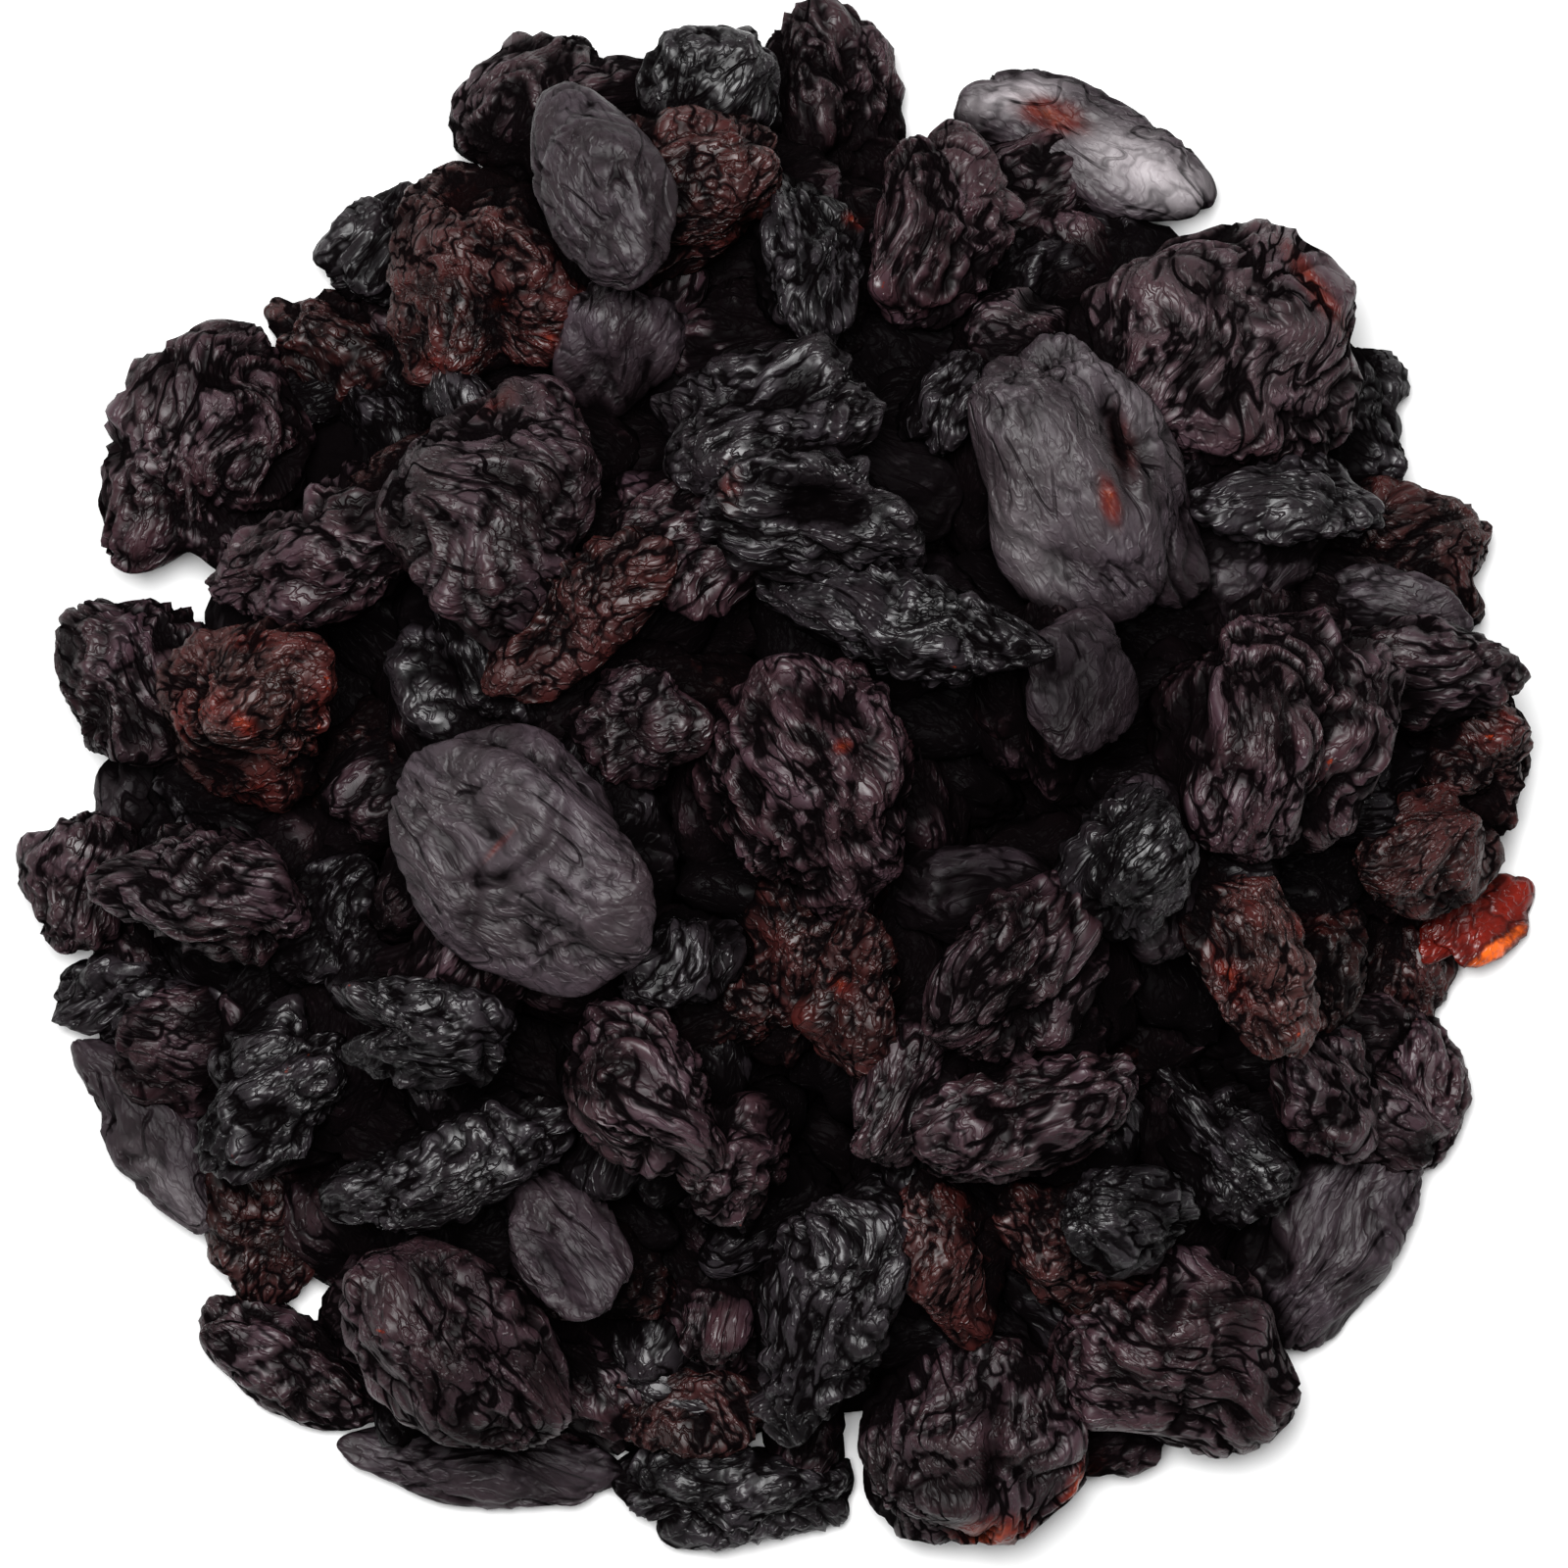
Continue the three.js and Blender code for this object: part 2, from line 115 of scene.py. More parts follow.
TOP = [
    ("russet", -19.0, 32.8, 15.0, 11.6, -70), ("smooth", -11.8, 38.0, 12.2, 9.4, -62),
    ("black", 1.3, 33.6, 11.6, 7.4, -80), ("plum", 9.7, 35.5, 14.0, 8.0, 75),
    ("smooth", 19.3, 41.3, 17.6, 7.6, -27), ("broad", 27.8, 28.4, 18.4, 15.4, -15),
    ("smooth", 19.2, 19.0, 20.4, 12.6, -62), ("black", -1.3, 23.2, 14.4, 8.8, 15),
    ("black", 2.4, 17.4, 12.8, 8.4, -12), ("black", 8.1, 10.2, 17.0, 7.4, -20),
    ("broad", -18.4, 17.4, 15.4, 12.8, 70), ("russet", -34.3, 4.5, 10.6, 10.2, 0),
    ("smooth", -16.9, -4.5, 19.0, 13.0, -38), ("plum", 1.8, 0.6, 14.8, 13.6, -60),
    ("plum", 31.0, 3.4, 15.2, 14.8, 80), ("plum", -36.6, -7.0, 12.4, 8.2, -12),
    ("black", -32.4, -19.2, 10.6, 9.4, 30), ("broad", -21.3, -36.0, 15.4, 11.0, -62),
    ("black", 3.1, -33.4, 17.4, 7.4, 78), ("plum", -9.0, -19.4, 11.8, 8.8, -45),
    ("plum", 15.3, -11.8, 13.0, 10.4, 50), ("plum", 15.3, -21.4, 13.8, 7.4, 20),
    ("russet", 29.7, -11.0, 12.6, 7.2, -68), ("broad", 25.0, -36.6, 15.4, 12.0, -22),
    ("broad", 12.5, -42.4, 16.0, 13.0, 10), ("amber", 44.8, -9.0, 8.8, 5.2, 30),
]
print("raisins placed by hand:", len(RIM) + len(MIDDLE) + len(TOP))

# %% The layers laid by rule, and how raisins settle
# How many, how far out, how long, the height above which none is added, and the first draw
LAYERS = [(44, 40, 12.5, 3, 20000), (34, 36, 12.0, 11, 21000), (14, 24, 12.0, 99, 22000)]
LAYER_KINDS = ["plum", "black", "smooth", "russet"]
THICKNESS = {"plum": 0.66, "broad": 0.66, "black": 0.7, "smooth": 0.5, "russet": 0.62, "amber": 0.4}
LUMPINESS = {"plum": 0.75, "broad": 0.45, "black": 1.0, "smooth": 0.6, "russet": 1.0, "amber": 1.0}
SHORTEST, LENGTH_SPREAD, SLIMNESS, SHIFT = 0.8, 0.45, 0.62, 2.0
MOST_RISE, WOBBLE, SETTLED_SHARE, FLOOR_FLAT = 4.5, 0.3, 0.92, 0.3
THINNEST, THICKNESS_SPREAD = 0.9, 0.25
GOLDEN_ANGLE = math.pi * (3 - math.sqrt(5))
DRAWS_PER_RAISIN, DRAWS_PER_SPOT = 100, 5
# Folds run along a raisin, or across it on the few whose numbers in the list of those on top are here
FOLDS_ALONG, FOLDS_ACROSS = [0, 1, 2], [1, 0, 2]
FOLDED_ACROSS = (5, 10, 24)
GRID_REACH = 60

heights = np.zeros((2 * GRID_REACH + 1, 2 * GRID_REACH + 1))
uppermost = np.full(heights.shape, -1)
raisins = []
print("raisins in the layers, at most:", sum(layer[0] for layer in LAYERS))

# %% [markdown]
# ## Laying the heap
#
# A physics simulation could drop the raisins, but it would move them away from where the photo shows them.
# A height map does better here. It holds the heap's height on cells of one millimetre. Each raisin in turn
# is a tilted ellipsoid: it tilts to the slope under it, comes down until nearly all of its underside has
# something below it, and raises the map. A long raisin bridges the bumps, so it lies flatter than a short
# one.

# %% One raisin comes to rest


def slope_under(dx, dy, under, reach, angle, seat):
    """Least-squares slope over the raisin's outline, plus a small draw, and no steeper than it may be."""
    along = dx * math.cos(angle) + dy * math.sin(angle)
    across = dy * math.cos(angle) - dx * math.sin(angle)
    inside = (along / reach[0]) ** 2 + (across / reach[1]) ** 2 < 1
    slope = np.array([(d[inside] * under[inside]).sum() / (d[inside] ** 2).sum() for d in (dx, dy)])
    slope += WOBBLE * (draw([seat + 1, seat + 2]) - 0.5)
    return slope * min(1, MOST_RISE / (2 * reach[0]) / np.hypot(*slope))


def axes_for(out, angle):
    """A raisin's axes as rows: along it at this angle from above, across it, and out of its flat side."""
    out = out / np.linalg.norm(out)
    along = np.array([math.cos(angle), math.sin(angle), 0.0])
    along -= out * (along @ out)
    along /= np.linalg.norm(along)
    return np.array([along, np.cross(out, along), out])


def lay(kind, x, y, length, width, turn):
    """Tilt, drop and record one raisin. The ellipsoid's lower and upper surface over a cell are the two
    roots of a quadratic in height."""
    first = (len(raisins) + 1) * DRAWS_PER_RAISIN
    thickness = THICKNESS[kind] * (THINNEST + THICKNESS_SPREAD * float(draw(first)))
    reach = np.array([length, width, width * thickness]) / 2
    angle = math.radians(turn)
    rows = np.arange(math.ceil(y - reach[0]), math.floor(y + reach[0]) + 1)
    columns = np.arange(math.ceil(x - reach[0]), math.floor(x + reach[0]) + 1)
    dx, dy = np.meshgrid(columns - x, rows - y)
    patch = np.ix_(rows + GRID_REACH, columns + GRID_REACH)
    under = heights[patch]
    slope = slope_under(dx, dy, under, reach, angle, first)
    axes = axes_for(np.array([-slope[0], -slope[1], 1.0]), angle)
    form = axes.T @ np.diag(1 / reach**2) @ axes
    lean = form[0, 2] * dx + form[1, 2] * dy
    flat = form[0, 0] * dx**2 + 2 * form[0, 1] * dx * dy + form[1, 1] * dy**2 - 1
    square = lean**2 - form[2, 2] * flat
    covers = square > 0
    root = np.sqrt(np.where(covers, square, 0))
    rests = np.sort((under - (-lean - root) / form[2, 2])[covers])
    settled = rests[int(SETTLED_SHARE * (len(rests) - 1))]
    z = max(settled, np.linalg.norm(axes[:, 2] * reach) - FLOOR_FLAT)
    top = z + (-lean + root) / form[2, 2]
    higher = covers & (top > under)
    heights[patch] = np.where(higher, top, under)
    uppermost[patch] = np.where(higher, len(raisins), uppermost[patch])
    centre = np.array([x, y, z])
    raisins.append({"kind": kind, "first": first, "centre": centre, "axes": axes, "reach": reach,
                    "order": FOLDS_ALONG})


# %% The whole heap comes to rest


def lay_layer(count, reach, length, highest, first):
    """A sunflower spiral: the distance out grows as the root of the number, and the angle by the golden
    angle each time."""
    for number in range(count):
        spot = first + number * DRAWS_PER_SPOT
        shift_x, shift_y, size, kind, turn = draw(spot + np.arange(DRAWS_PER_SPOT))
        radius = reach * math.sqrt((number + 0.5) / count)
        x = radius * math.cos(number * GOLDEN_ANGLE) + SHIFT * (shift_x - 0.5)
        y = radius * math.sin(number * GOLDEN_ANGLE) + SHIFT * (shift_y - 0.5)
        if heights[round(y) + GRID_REACH, round(x) + GRID_REACH] <= highest:
            long = length * (SHORTEST + LENGTH_SPREAD * size)
            lay(LAYER_KINDS[int(kind * len(LAYER_KINDS))], x, y, long, long * SLIMNESS, 360 * turn)


for row in RIM:
    lay(*row)
for layer in LAYERS:
    lay_layer(*layer)
for row in MIDDLE + TOP:
    lay(*row)
for number in FOLDED_ACROSS:
    raisins[len(raisins) - len(TOP) + number]["order"] = FOLDS_ACROSS
shown = np.bincount(uppermost[uppermost >= 0], minlength=len(raisins))
print("raisins laid:", len(raisins), " seen from above:", np.count_nonzero(shown))
print("top of the heap:", heights.max().round(1), "mm")

# %% [markdown]
# ## The form of a raisin
#
# A grape dries into a lumpy, flattened bag with a few deep clefts. Its form is a function of direction: for
# each direction out of the middle, how far out the skin lies, as a share of the plain ellipsoid. A few slow
# waves give the lumps, and grooves cut by planes give the clefts. Both run mostly lengthwise, because a
# grape shrinks more round its waist than from end to end. The packed solid has the same waves.

# %% Lumps and clefts
LENGTHWISE = 0.5
LUMPS, LUMP_HEIGHT, LUMP_TURNS = 5, 0.08, (2.4, 2.8)
CLEFTS, CLEFT_DEPTH, CLEFT_WIDTH, CLEFT_OFFSET, CLEFT_TURNS = 2, 0.26, 0.28, 0.7, 2.5
LUMP_DRAWS, DRAWS_PER_LUMP = 10, 5
CLEFT_DRAWS, DRAWS_PER_CLEFT = 40, 8
FULLNESS = 1.05
FACETS, FACET_SHARE, FACET_EDGE, FACET_MEAN = 15, 0.55, 30, 0.93
FACET_LEAST_COSINE, FACET_LIMITS, TINY = 0.5, (0.8, 1.15), 1e-9


def wave_directions(numbers):
    """Unit directions from three draws each, with the part along the raisin made smaller."""
    ways = (draw(np.asarray(numbers)[:, None] + np.arange(3)) - 0.5) * [LENGTHWISE, 1, 1]
    return ways / np.linalg.norm(ways, axis=1, keepdims=True)


def share_out(directions, raisin):
    """Fullness, plus a sum of cosines over the direction, less a bell-shaped groove along each cleft's
    plane that opens and closes on its way."""
    lumps = raisin["first"] + LUMP_DRAWS + DRAWS_PER_LUMP * np.arange(LUMPS)
    waves = wave_directions(lumps) * (LUMP_TURNS[0] + LUMP_TURNS[1] * draw(lumps + 3))[:, None]
    raised = np.cos(directions @ waves.T + 2 * np.pi * draw(lumps + 4)).sum(-1)
    clefts = raisin["first"] + CLEFT_DRAWS + DRAWS_PER_CLEFT * np.arange(CLEFTS)
    aside = directions @ wave_directions(clefts).T - CLEFT_OFFSET * (draw(clefts + 3) - 0.5)
    turns = directions @ (wave_directions(clefts + 4) * CLEFT_TURNS).T + 2 * np.pi * draw(clefts + 7)
    grooved = ((0.5 + 0.5 * np.cos(turns)) * np.exp(-((aside / CLEFT_WIDTH) ** 2))).sum(-1)
    share = FULLNESS + LUMPINESS[raisin["kind"]] * (LUMP_HEIGHT * raised - CLEFT_DEPTH * grooved)
    return share * (1 - FACET_SHARE + FACET_SHARE * flattened(directions, raisin["first"]))


def flattened(directions, seed):
    """How far out a many-sided solid lies: a mean share over the largest cosine between the direction and
    the facets' own, which is taken softly, by a high power, so that edges are round."""
    facets = np.random.default_rng(seed).normal(size=(FACETS, 3))
    facets /= np.linalg.norm(facets, axis=1, keepdims=True)
    cosines = np.maximum(directions @ facets.T, 0)
    largest = ((cosines**FACET_EDGE).sum(1) + TINY) ** (1 / FACET_EDGE)
    return np.clip(FACET_MEAN / np.maximum(largest, FACET_LEAST_COSINE), *FACET_LIMITS)


print("share out along the first raisin's axes:", share_out(np.eye(3), raisins[0]).round(2))


# %% [markdown]
# ## Folds in the skin
#
# The skin keeps its area while the flesh shrinks, so it folds. Sculpting each raisin by hand would take
# days, and plain noise looks like rock. A sum of plane waves that all have about the same wavelength looks
# right: the line where it is zero wanders like a maze at an even spacing, as folds do. Its distance from
# zero makes round pillows with tight creases between. Folded back at a set height it makes pleats, with
# the flat sides and sharp edges of a skin too stiff to bend round, and upside down it makes tucks.

# %% Fields of folds
WAVES_PER_FIELD, WAVE_SPREAD = 18, (0.8, 1.25)
CREASE = 0.06
MEAN_SIZE, PLEAT = 0.8, 0.9


def ripples(points, wavelength, seed, lengthwise=1, spread=2):
    """A random field with a mean square of 1, and its slope: a sum of plane waves near one wavelength. With
    lengthwise below 1 their part along the raisin is smaller, so that folds run lengthwise. A small spread
    bundles the waves round one direction, so that folds run side by side."""
    chance = np.random.default_rng(seed)
    grain = np.array([lengthwise, 1, 1])
    main = chance.normal(size=3) * grain
    ways = main / np.linalg.norm(main) + spread * chance.normal(size=(WAVES_PER_FIELD, 3)) * grain
    ways /= np.linalg.norm(ways, axis=1, keepdims=True)
    ways *= 2 * np.pi / wavelength * chance.uniform(*WAVE_SPREAD, (WAVES_PER_FIELD, 1))
    angles = points @ ways.T + chance.uniform(0, 2 * np.pi, WAVES_PER_FIELD)
    size = math.sqrt(2 / WAVES_PER_FIELD)
    return size * np.cos(angles).sum(1), -size * np.sin(angles) @ ways


def pillows(field, slope):
    """Distance of the field from 0, softened at the crease: round folds, tight creases. With its slope."""
    size = np.sqrt(field**2 + CREASE**2)
    return size - MEAN_SIZE, (field / size)[:, None] * slope


def pleats(field, slope):
    """Pillows folded back at a set height: flat sides between tight creases and sharp edges."""
    rise, rise_slope = pillows(field, slope)
    over = rise + MEAN_SIZE - PLEAT
    size = np.sqrt(over**2 + CREASE**2)
    return PLEAT / 2 - size, -(over / size)[:, None] * rise_slope


def tucks(field, slope):
    """Pleats upside down: sharp ridges with flat sides, round hollow pits."""
    rise, rise_slope = pleats(field, slope)
    return -rise, -rise_slope


field, slope = ripples(np.linspace([0, 0, 0], [100, 0, 0], 1001), 5.0, 1)
print("a field along a line: mean square", (field**2).mean().round(2))

# %% [markdown]
# Between the folds, dry skin is parted into small flat facets. Random middles on a sphere part it into
# cells, with a border wherever two middles are equally near.

# %% Small facets


def crumpled(directions, seed, cells, grain):
    """The sphere parted into cells round random directions, longer along the raisin. Returns how far out of
    its cell's middle each point is, 1 on average, and its distance from the cell's edge as an angle."""
    stretch = np.array([grain, 1, 1])
    middles = np.random.default_rng(seed).normal(size=(cells, 3))
    middles /= np.linalg.norm(middles, axis=1, keepdims=True)
    ways = directions * stretch
    ways /= np.linalg.norm(ways, axis=1, keepdims=True)
    cosines = ways @ middles.T
    order = np.argpartition(-cosines, 1, axis=1)[:, :2]
    two = np.take_along_axis(cosines, order, axis=1)
    apart = np.linalg.norm(middles[order[:, 0]] - middles[order[:, 1]], axis=1)
    return (1 - two.max(1)) * cells / 2, np.abs(two[:, 0] - two[:, 1]) / apart


dish, _ = crumpled(np.eye(3), 1, 12, 1)
print("how far out of their cells three points are:", dish.round(2))

# %% How each kind folds
# For each set of folds: its profile, wavelength and height in mm, and spread of direction. The first set is
# everywhere. The others lie on the two sides of a slow field, so that they don't cross.
FOLDS = {
    "plum": [(pillows, 7.5, 0.22, 1.5), (tucks, 5.2, 0.75, 0.60), (pleats, 4.0, 0.60, 0.45)],
    "broad": [(pillows, 9.0, 0.25, 1.5), (pleats, 6.0, 0.50, 0.60), (tucks, 4.6, 0.40, 0.45)],
    "black": [(pillows, 6.0, 0.26, 1.5), (tucks, 4.8, 0.75, 0.60), (tucks, 3.8, 0.60, 0.45)],
    "smooth": [(pillows, 10.0, 0.26, 1.5), (pleats, 6.0, 0.36, 0.60), (pleats, 4.0, 0.22, 0.45)],
    "russet": [(pillows, 5.5, 0.30, 1.5), (tucks, 3.8, 0.50, 0.80), (pleats, 3.2, 0.40, 0.80)],
    "amber": [(pillows, 4.0, 0.30, 1.5), (tucks, 2.6, 0.24, 0.80), (pleats, 2.0, 0.16, 0.80)],
}
# For each kind: size of the small facets, height of the ridges between them and depth of the cracks, in mm
CRUMPLES = {
    "plum": (2.8, 0.05, 0.50), "broad": (3.8, 0.10, 0.60), "black": (2.8, 0.08, 0.40),
    "smooth": (3.2, 0.06, 0.35), "russet": (2.2, 0.10, 0.35), "amber": (2.4, 0.10, 0.10),
}
GRAIN = {"plum": 0.6, "broad": 0.6, "black": 0.6, "smooth": 0.4, "russet": 1.0, "amber": 0.8}
CRACK_DEPTH = {"plum": 0.45, "broad": 0.6, "black": 0.3, "smooth": 0.25, "russet": 0.3, "amber": 0.2}
print("sets of folds for each kind:", {kind: len(sets) for kind, sets in FOLDS.items()})

# %% [markdown]
# ## Folding one raisin
#
# Each field has a seed of its own, counted from the raisin's first draw. A slow wander bends the fields, so
# that no fold is straight. The folds grow with the raisin's width and die down toward its two ends. They
# also swell sideways: each point slides down the slope a little, so that pillows grow fat and creases close.

# %% Fold one raisin
WANDER, SKIN_WANDER, WANDER_LENGTH = 0.7, 0.4, 8.0
USUAL_HALF_WIDTH = 5
PATCH_LENGTH, SIDE_STEP = 7.0, (-0.35, 0.65)
SWELL = 0.03
CRACK_WIDTH, CRACK_LENGTH, CRACK_SPREAD, CRACK_STEP = 0.14, 6.0, 0.6, (0, 0.6)
LEAST_CELLS, DISH_MOST, EDGE_WIDTH, EDGE_STEP = 4, 3, 0.20, (-0.6, 0.6)
LARGEST_SHARE = 0.3
END_SHARE, END_REACH = 0.35, 0.5
# Which of the raisin's seeds each field takes
SEEDS, WANDER_SEEDS, FOLD_SEED, PATCH_SEED, CRACK_SEEDS, CELL_SEED, OPEN_SEED = 16, 3, 3, 6, (9, 11), 13, 14


def between(low, high, value):
    """A smooth step from 0 at low to 1 at high."""
    t = np.clip((value - low) / (high - low), 0, 1)
    return t * t * (3 - 2 * t)


def folded(points, outward, raisin):
    """The points moved out along their normals by the sum of all folds, and down the folds' slope by the
    swell. Also the relief that later colours the creases and gives them painted shade, which is the same sum
    with less of the largest folds, and where each point lay on the skin, pushed about by the same slow field
    as the folds."""
    style, order = raisin["kind"], raisin["order"]
    aside = np.hypot(*(points / raisin["reach"])[:, 1:].T)
    points, outward = points[:, order], outward[:, order]
    grain = GRAIN[style]
    seeds = raisin["first"] + np.arange(SEEDS)
    wander = np.stack([ripples(points, WANDER_LENGTH, seed)[0] for seed in seeds[:WANDER_SEEDS]], 1)
    bent = points + WANDER * wander
    height, relief = np.zeros(len(points)), np.zeros(len(points))
    slope = np.zeros(points.shape)
    scale = math.sqrt(raisin["reach"][1] / USUAL_HALF_WIDTH)
    patch, _ = ripples(points, PATCH_LENGTH * scale, seeds[PATCH_SEED])
    shares = [np.ones(len(points)), between(*SIDE_STEP, patch), between(*SIDE_STEP, -patch)]
    for number, (profile, wavelength, size, spread) in enumerate(FOLDS[style]):
        seed = seeds[FOLD_SEED + number]
        rise, rise_slope = profile(*ripples(bent, wavelength * scale, seed, grain, spread))
        size = size * scale * shares[number]
        height += size * rise
        relief += size * rise * (1 if number else LARGEST_SHARE)
        slope += size[:, None] * rise_slope
    for number in CRACK_SEEDS:
        line, _ = ripples(bent, CRACK_LENGTH * scale, seeds[number], grain, CRACK_SPREAD)
        where, _ = ripples(points, CRACK_LENGTH * scale, seeds[number + 1])
        crack = CRACK_DEPTH[style] * np.exp(-((line / CRACK_WIDTH) ** 2)) * between(*CRACK_STEP, where)
        height -= crack
        relief -= crack
    facet, ridge, crease = CRUMPLES[style]
    middle = raisin["reach"].mean()
    cells = round(4 * np.pi * (middle / facet) ** 2) + LEAST_CELLS
    around = bent / raisin["reach"][order]
    around /= np.linalg.norm(around, axis=1, keepdims=True)
    dish, edge = crumpled(around, seeds[CELL_SEED], cells, grain)
    open_here = between(*EDGE_STEP, ripples(points, CRACK_LENGTH * scale, seeds[OPEN_SEED])[0])
    crumple = ridge * (np.minimum(dish, DISH_MOST) - 1)
    crumple -= crease * np.exp(-((edge * middle / EDGE_WIDTH) ** 2)) * open_here
    height = (height + crumple) * (END_SHARE + (1 - END_SHARE) * between(0, END_REACH, aside))
    relief += crumple
    sideways = slope - outward * (slope * outward).sum(1, keepdims=True)
    moved = points + outward * height[:, None] - SWELL * sideways
    return moved[:, order], relief, points + SKIN_WANDER * wander


# %% [markdown]
# ## From a raisin to a mesh
#
# Each raisin is a grid of directions, with its two poles at its ends: rings round the raisin, and columns
# from end to end. The step of the grid is finest on the raisins that show most, and coarse on those that
# hardly show, so that the whole heap stays under a million triangles.
#
# The mesh carries seven attributes for the finishes. Two say where a point lay on the skin before it was
# folded, and how high it is on a fold. One is the same all over a raisin, so that no two have one colour.
# The others say how red the point is, how much painted highlight it gets, how much painted shade it gets
# where little sky is open above it, and how much painted shade in hollows and shaded spots.

# %% One raisin as arrays
MM = 0.001
# The least area shown in square millimetres, and the grid's step in mm from that area up
STEPS = [(60, 0.28), (25, 0.34), (6, 0.42), (0, 0.8)]


def step_for(area):
    """The grid's step in mm for a raisin that shows this many square millimetres from above."""
    return next(step for least, step in STEPS if area >= least)


def skin_of(raisin, area):
    """Directions on a grid of two angles, times the form's share of the ellipsoid, folded, then turned and
    moved into place. Returns points in mm, faces, places on the skin, relief, and normals."""
    length, width, thick = raisin["reach"]
    step = step_for(area)
    columns = round(2 * np.pi * math.hypot(width, thick) / math.sqrt(2) / step)
    rings = round(np.pi * math.hypot(length, (width + thick) / 2) / math.sqrt(2) / step)
    polar = np.linspace(0, np.pi, rings + 1)[1:-1, None]
    around = np.linspace(0, 2 * np.pi, columns, endpoint=False)[None, :]
    ring = np.stack(np.broadcast_arrays(np.cos(polar), np.sin(polar) * np.cos(around),
                                        np.sin(polar) * np.sin(around)), -1).reshape(-1, 3)
    directions = np.concatenate([[[1.0, 0, 0]], ring, [[-1.0, 0, 0]]])
    points = directions * raisin["reach"] * share_out(directions, raisin)[:, None]
    outward = directions / raisin["reach"]
    outward /= np.linalg.norm(outward, axis=1, keepdims=True)
    moved, relief, skin = folded(points, outward, raisin)
    placed = moved @ raisin["axes"] + raisin["centre"]
    return placed, faces_of(columns, rings), skin, relief, outward @ raisin["axes"]


def faces_of(columns, rings):
    """Quads between neighbouring rings and triangles round both poles, as one list of corners and one of
    how many corners each face has."""
    ring = np.arange(1, 1 + columns * (rings - 1)).reshape(rings - 1, columns)
    beside = np.roll(ring, -1, axis=1)
    quads = np.stack([ring[:-1], ring[1:], beside[1:], beside[:-1]], -1).reshape(-1, 4)
    last = ring[-1, -1] + 1
    near = np.stack([np.zeros(columns, int), ring[0], beside[0]], -1)
    far = np.stack([np.full(columns, last), beside[-1], ring[-1]], -1)
    corners = np.concatenate([near.ravel(), quads.ravel(), far.ravel()])
    counts = np.concatenate([np.full(columns, 3), np.full(len(quads), 4), np.full(columns, 3)])
    return corners, counts


placed, (corners, counts), *_ = skin_of(raisins[0], shown[0])
print("the first raisin:", len(placed), "points,", len(counts), "faces")

# %% Many raisins as one mesh
pieces = []


def add_piece(name, points, corners, counts, attributes, slot):
    """One closed mesh from arrays, in metres, with its attributes, riding on the body it replaces."""
    mesh = bpy.data.meshes.new(name)
    mesh.vertices.add(len(points))
    mesh.vertices.foreach_set("co", (points * MM).astype(np.float32).ravel())
    mesh.loops.add(len(corners))
    mesh.loops.foreach_set("vertex_index", corners.astype(np.int32))
    mesh.polygons.add(len(counts))
    starts = np.concatenate([[0], np.cumsum(counts)[:-1]])
    mesh.polygons.foreach_set("loop_start", starts.astype(np.int32))
    mesh.update(calc_edges=True)
    mesh.shade_smooth()
    for label, values in attributes.items():
        kind, field = ("FLOAT_VECTOR", "vector") if values.ndim == 2 else ("FLOAT", "value")
        layer = mesh.attributes.new(label, kind, "POINT")
        layer.data.foreach_set(field, values.astype(np.float32).ravel())
    piece = bpy.data.objects.new(name, mesh)
    bpy.context.scene.collection.objects.link(piece)
    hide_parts(NODE)
    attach(piece, "root")
    pieces.append(piece)
    triangles = int((counts - 2).sum())
    print(f"{name}: {triangles} triangles")
    return triangles


# %% [markdown]
# ## Marks that single raisins bear
#
# A few raisins show more than folds: a round stem scar where the fruit hung, a long hollow where the skin
# fell in over the seed's place, a deep slit, a thin red edge that light comes through, or a pale patch of
# painted highlight where the skin catches light. Hollows get painted shade.
# Others lie in the shade of their neighbours, which is painted on too. These marks are placed on the heap
# one by one, and each fades out as a bell.

# %% Scars, hollows, painted highlights and painted shade
# A pressed hollow gets painted shade, up to this share, between these depths in mm
HOLLOW_SHADE, HOLLOW_DEPTHS = 0.75, (0.2, 1.5)
UPPER_SIDE = (-0.1, 0.4)
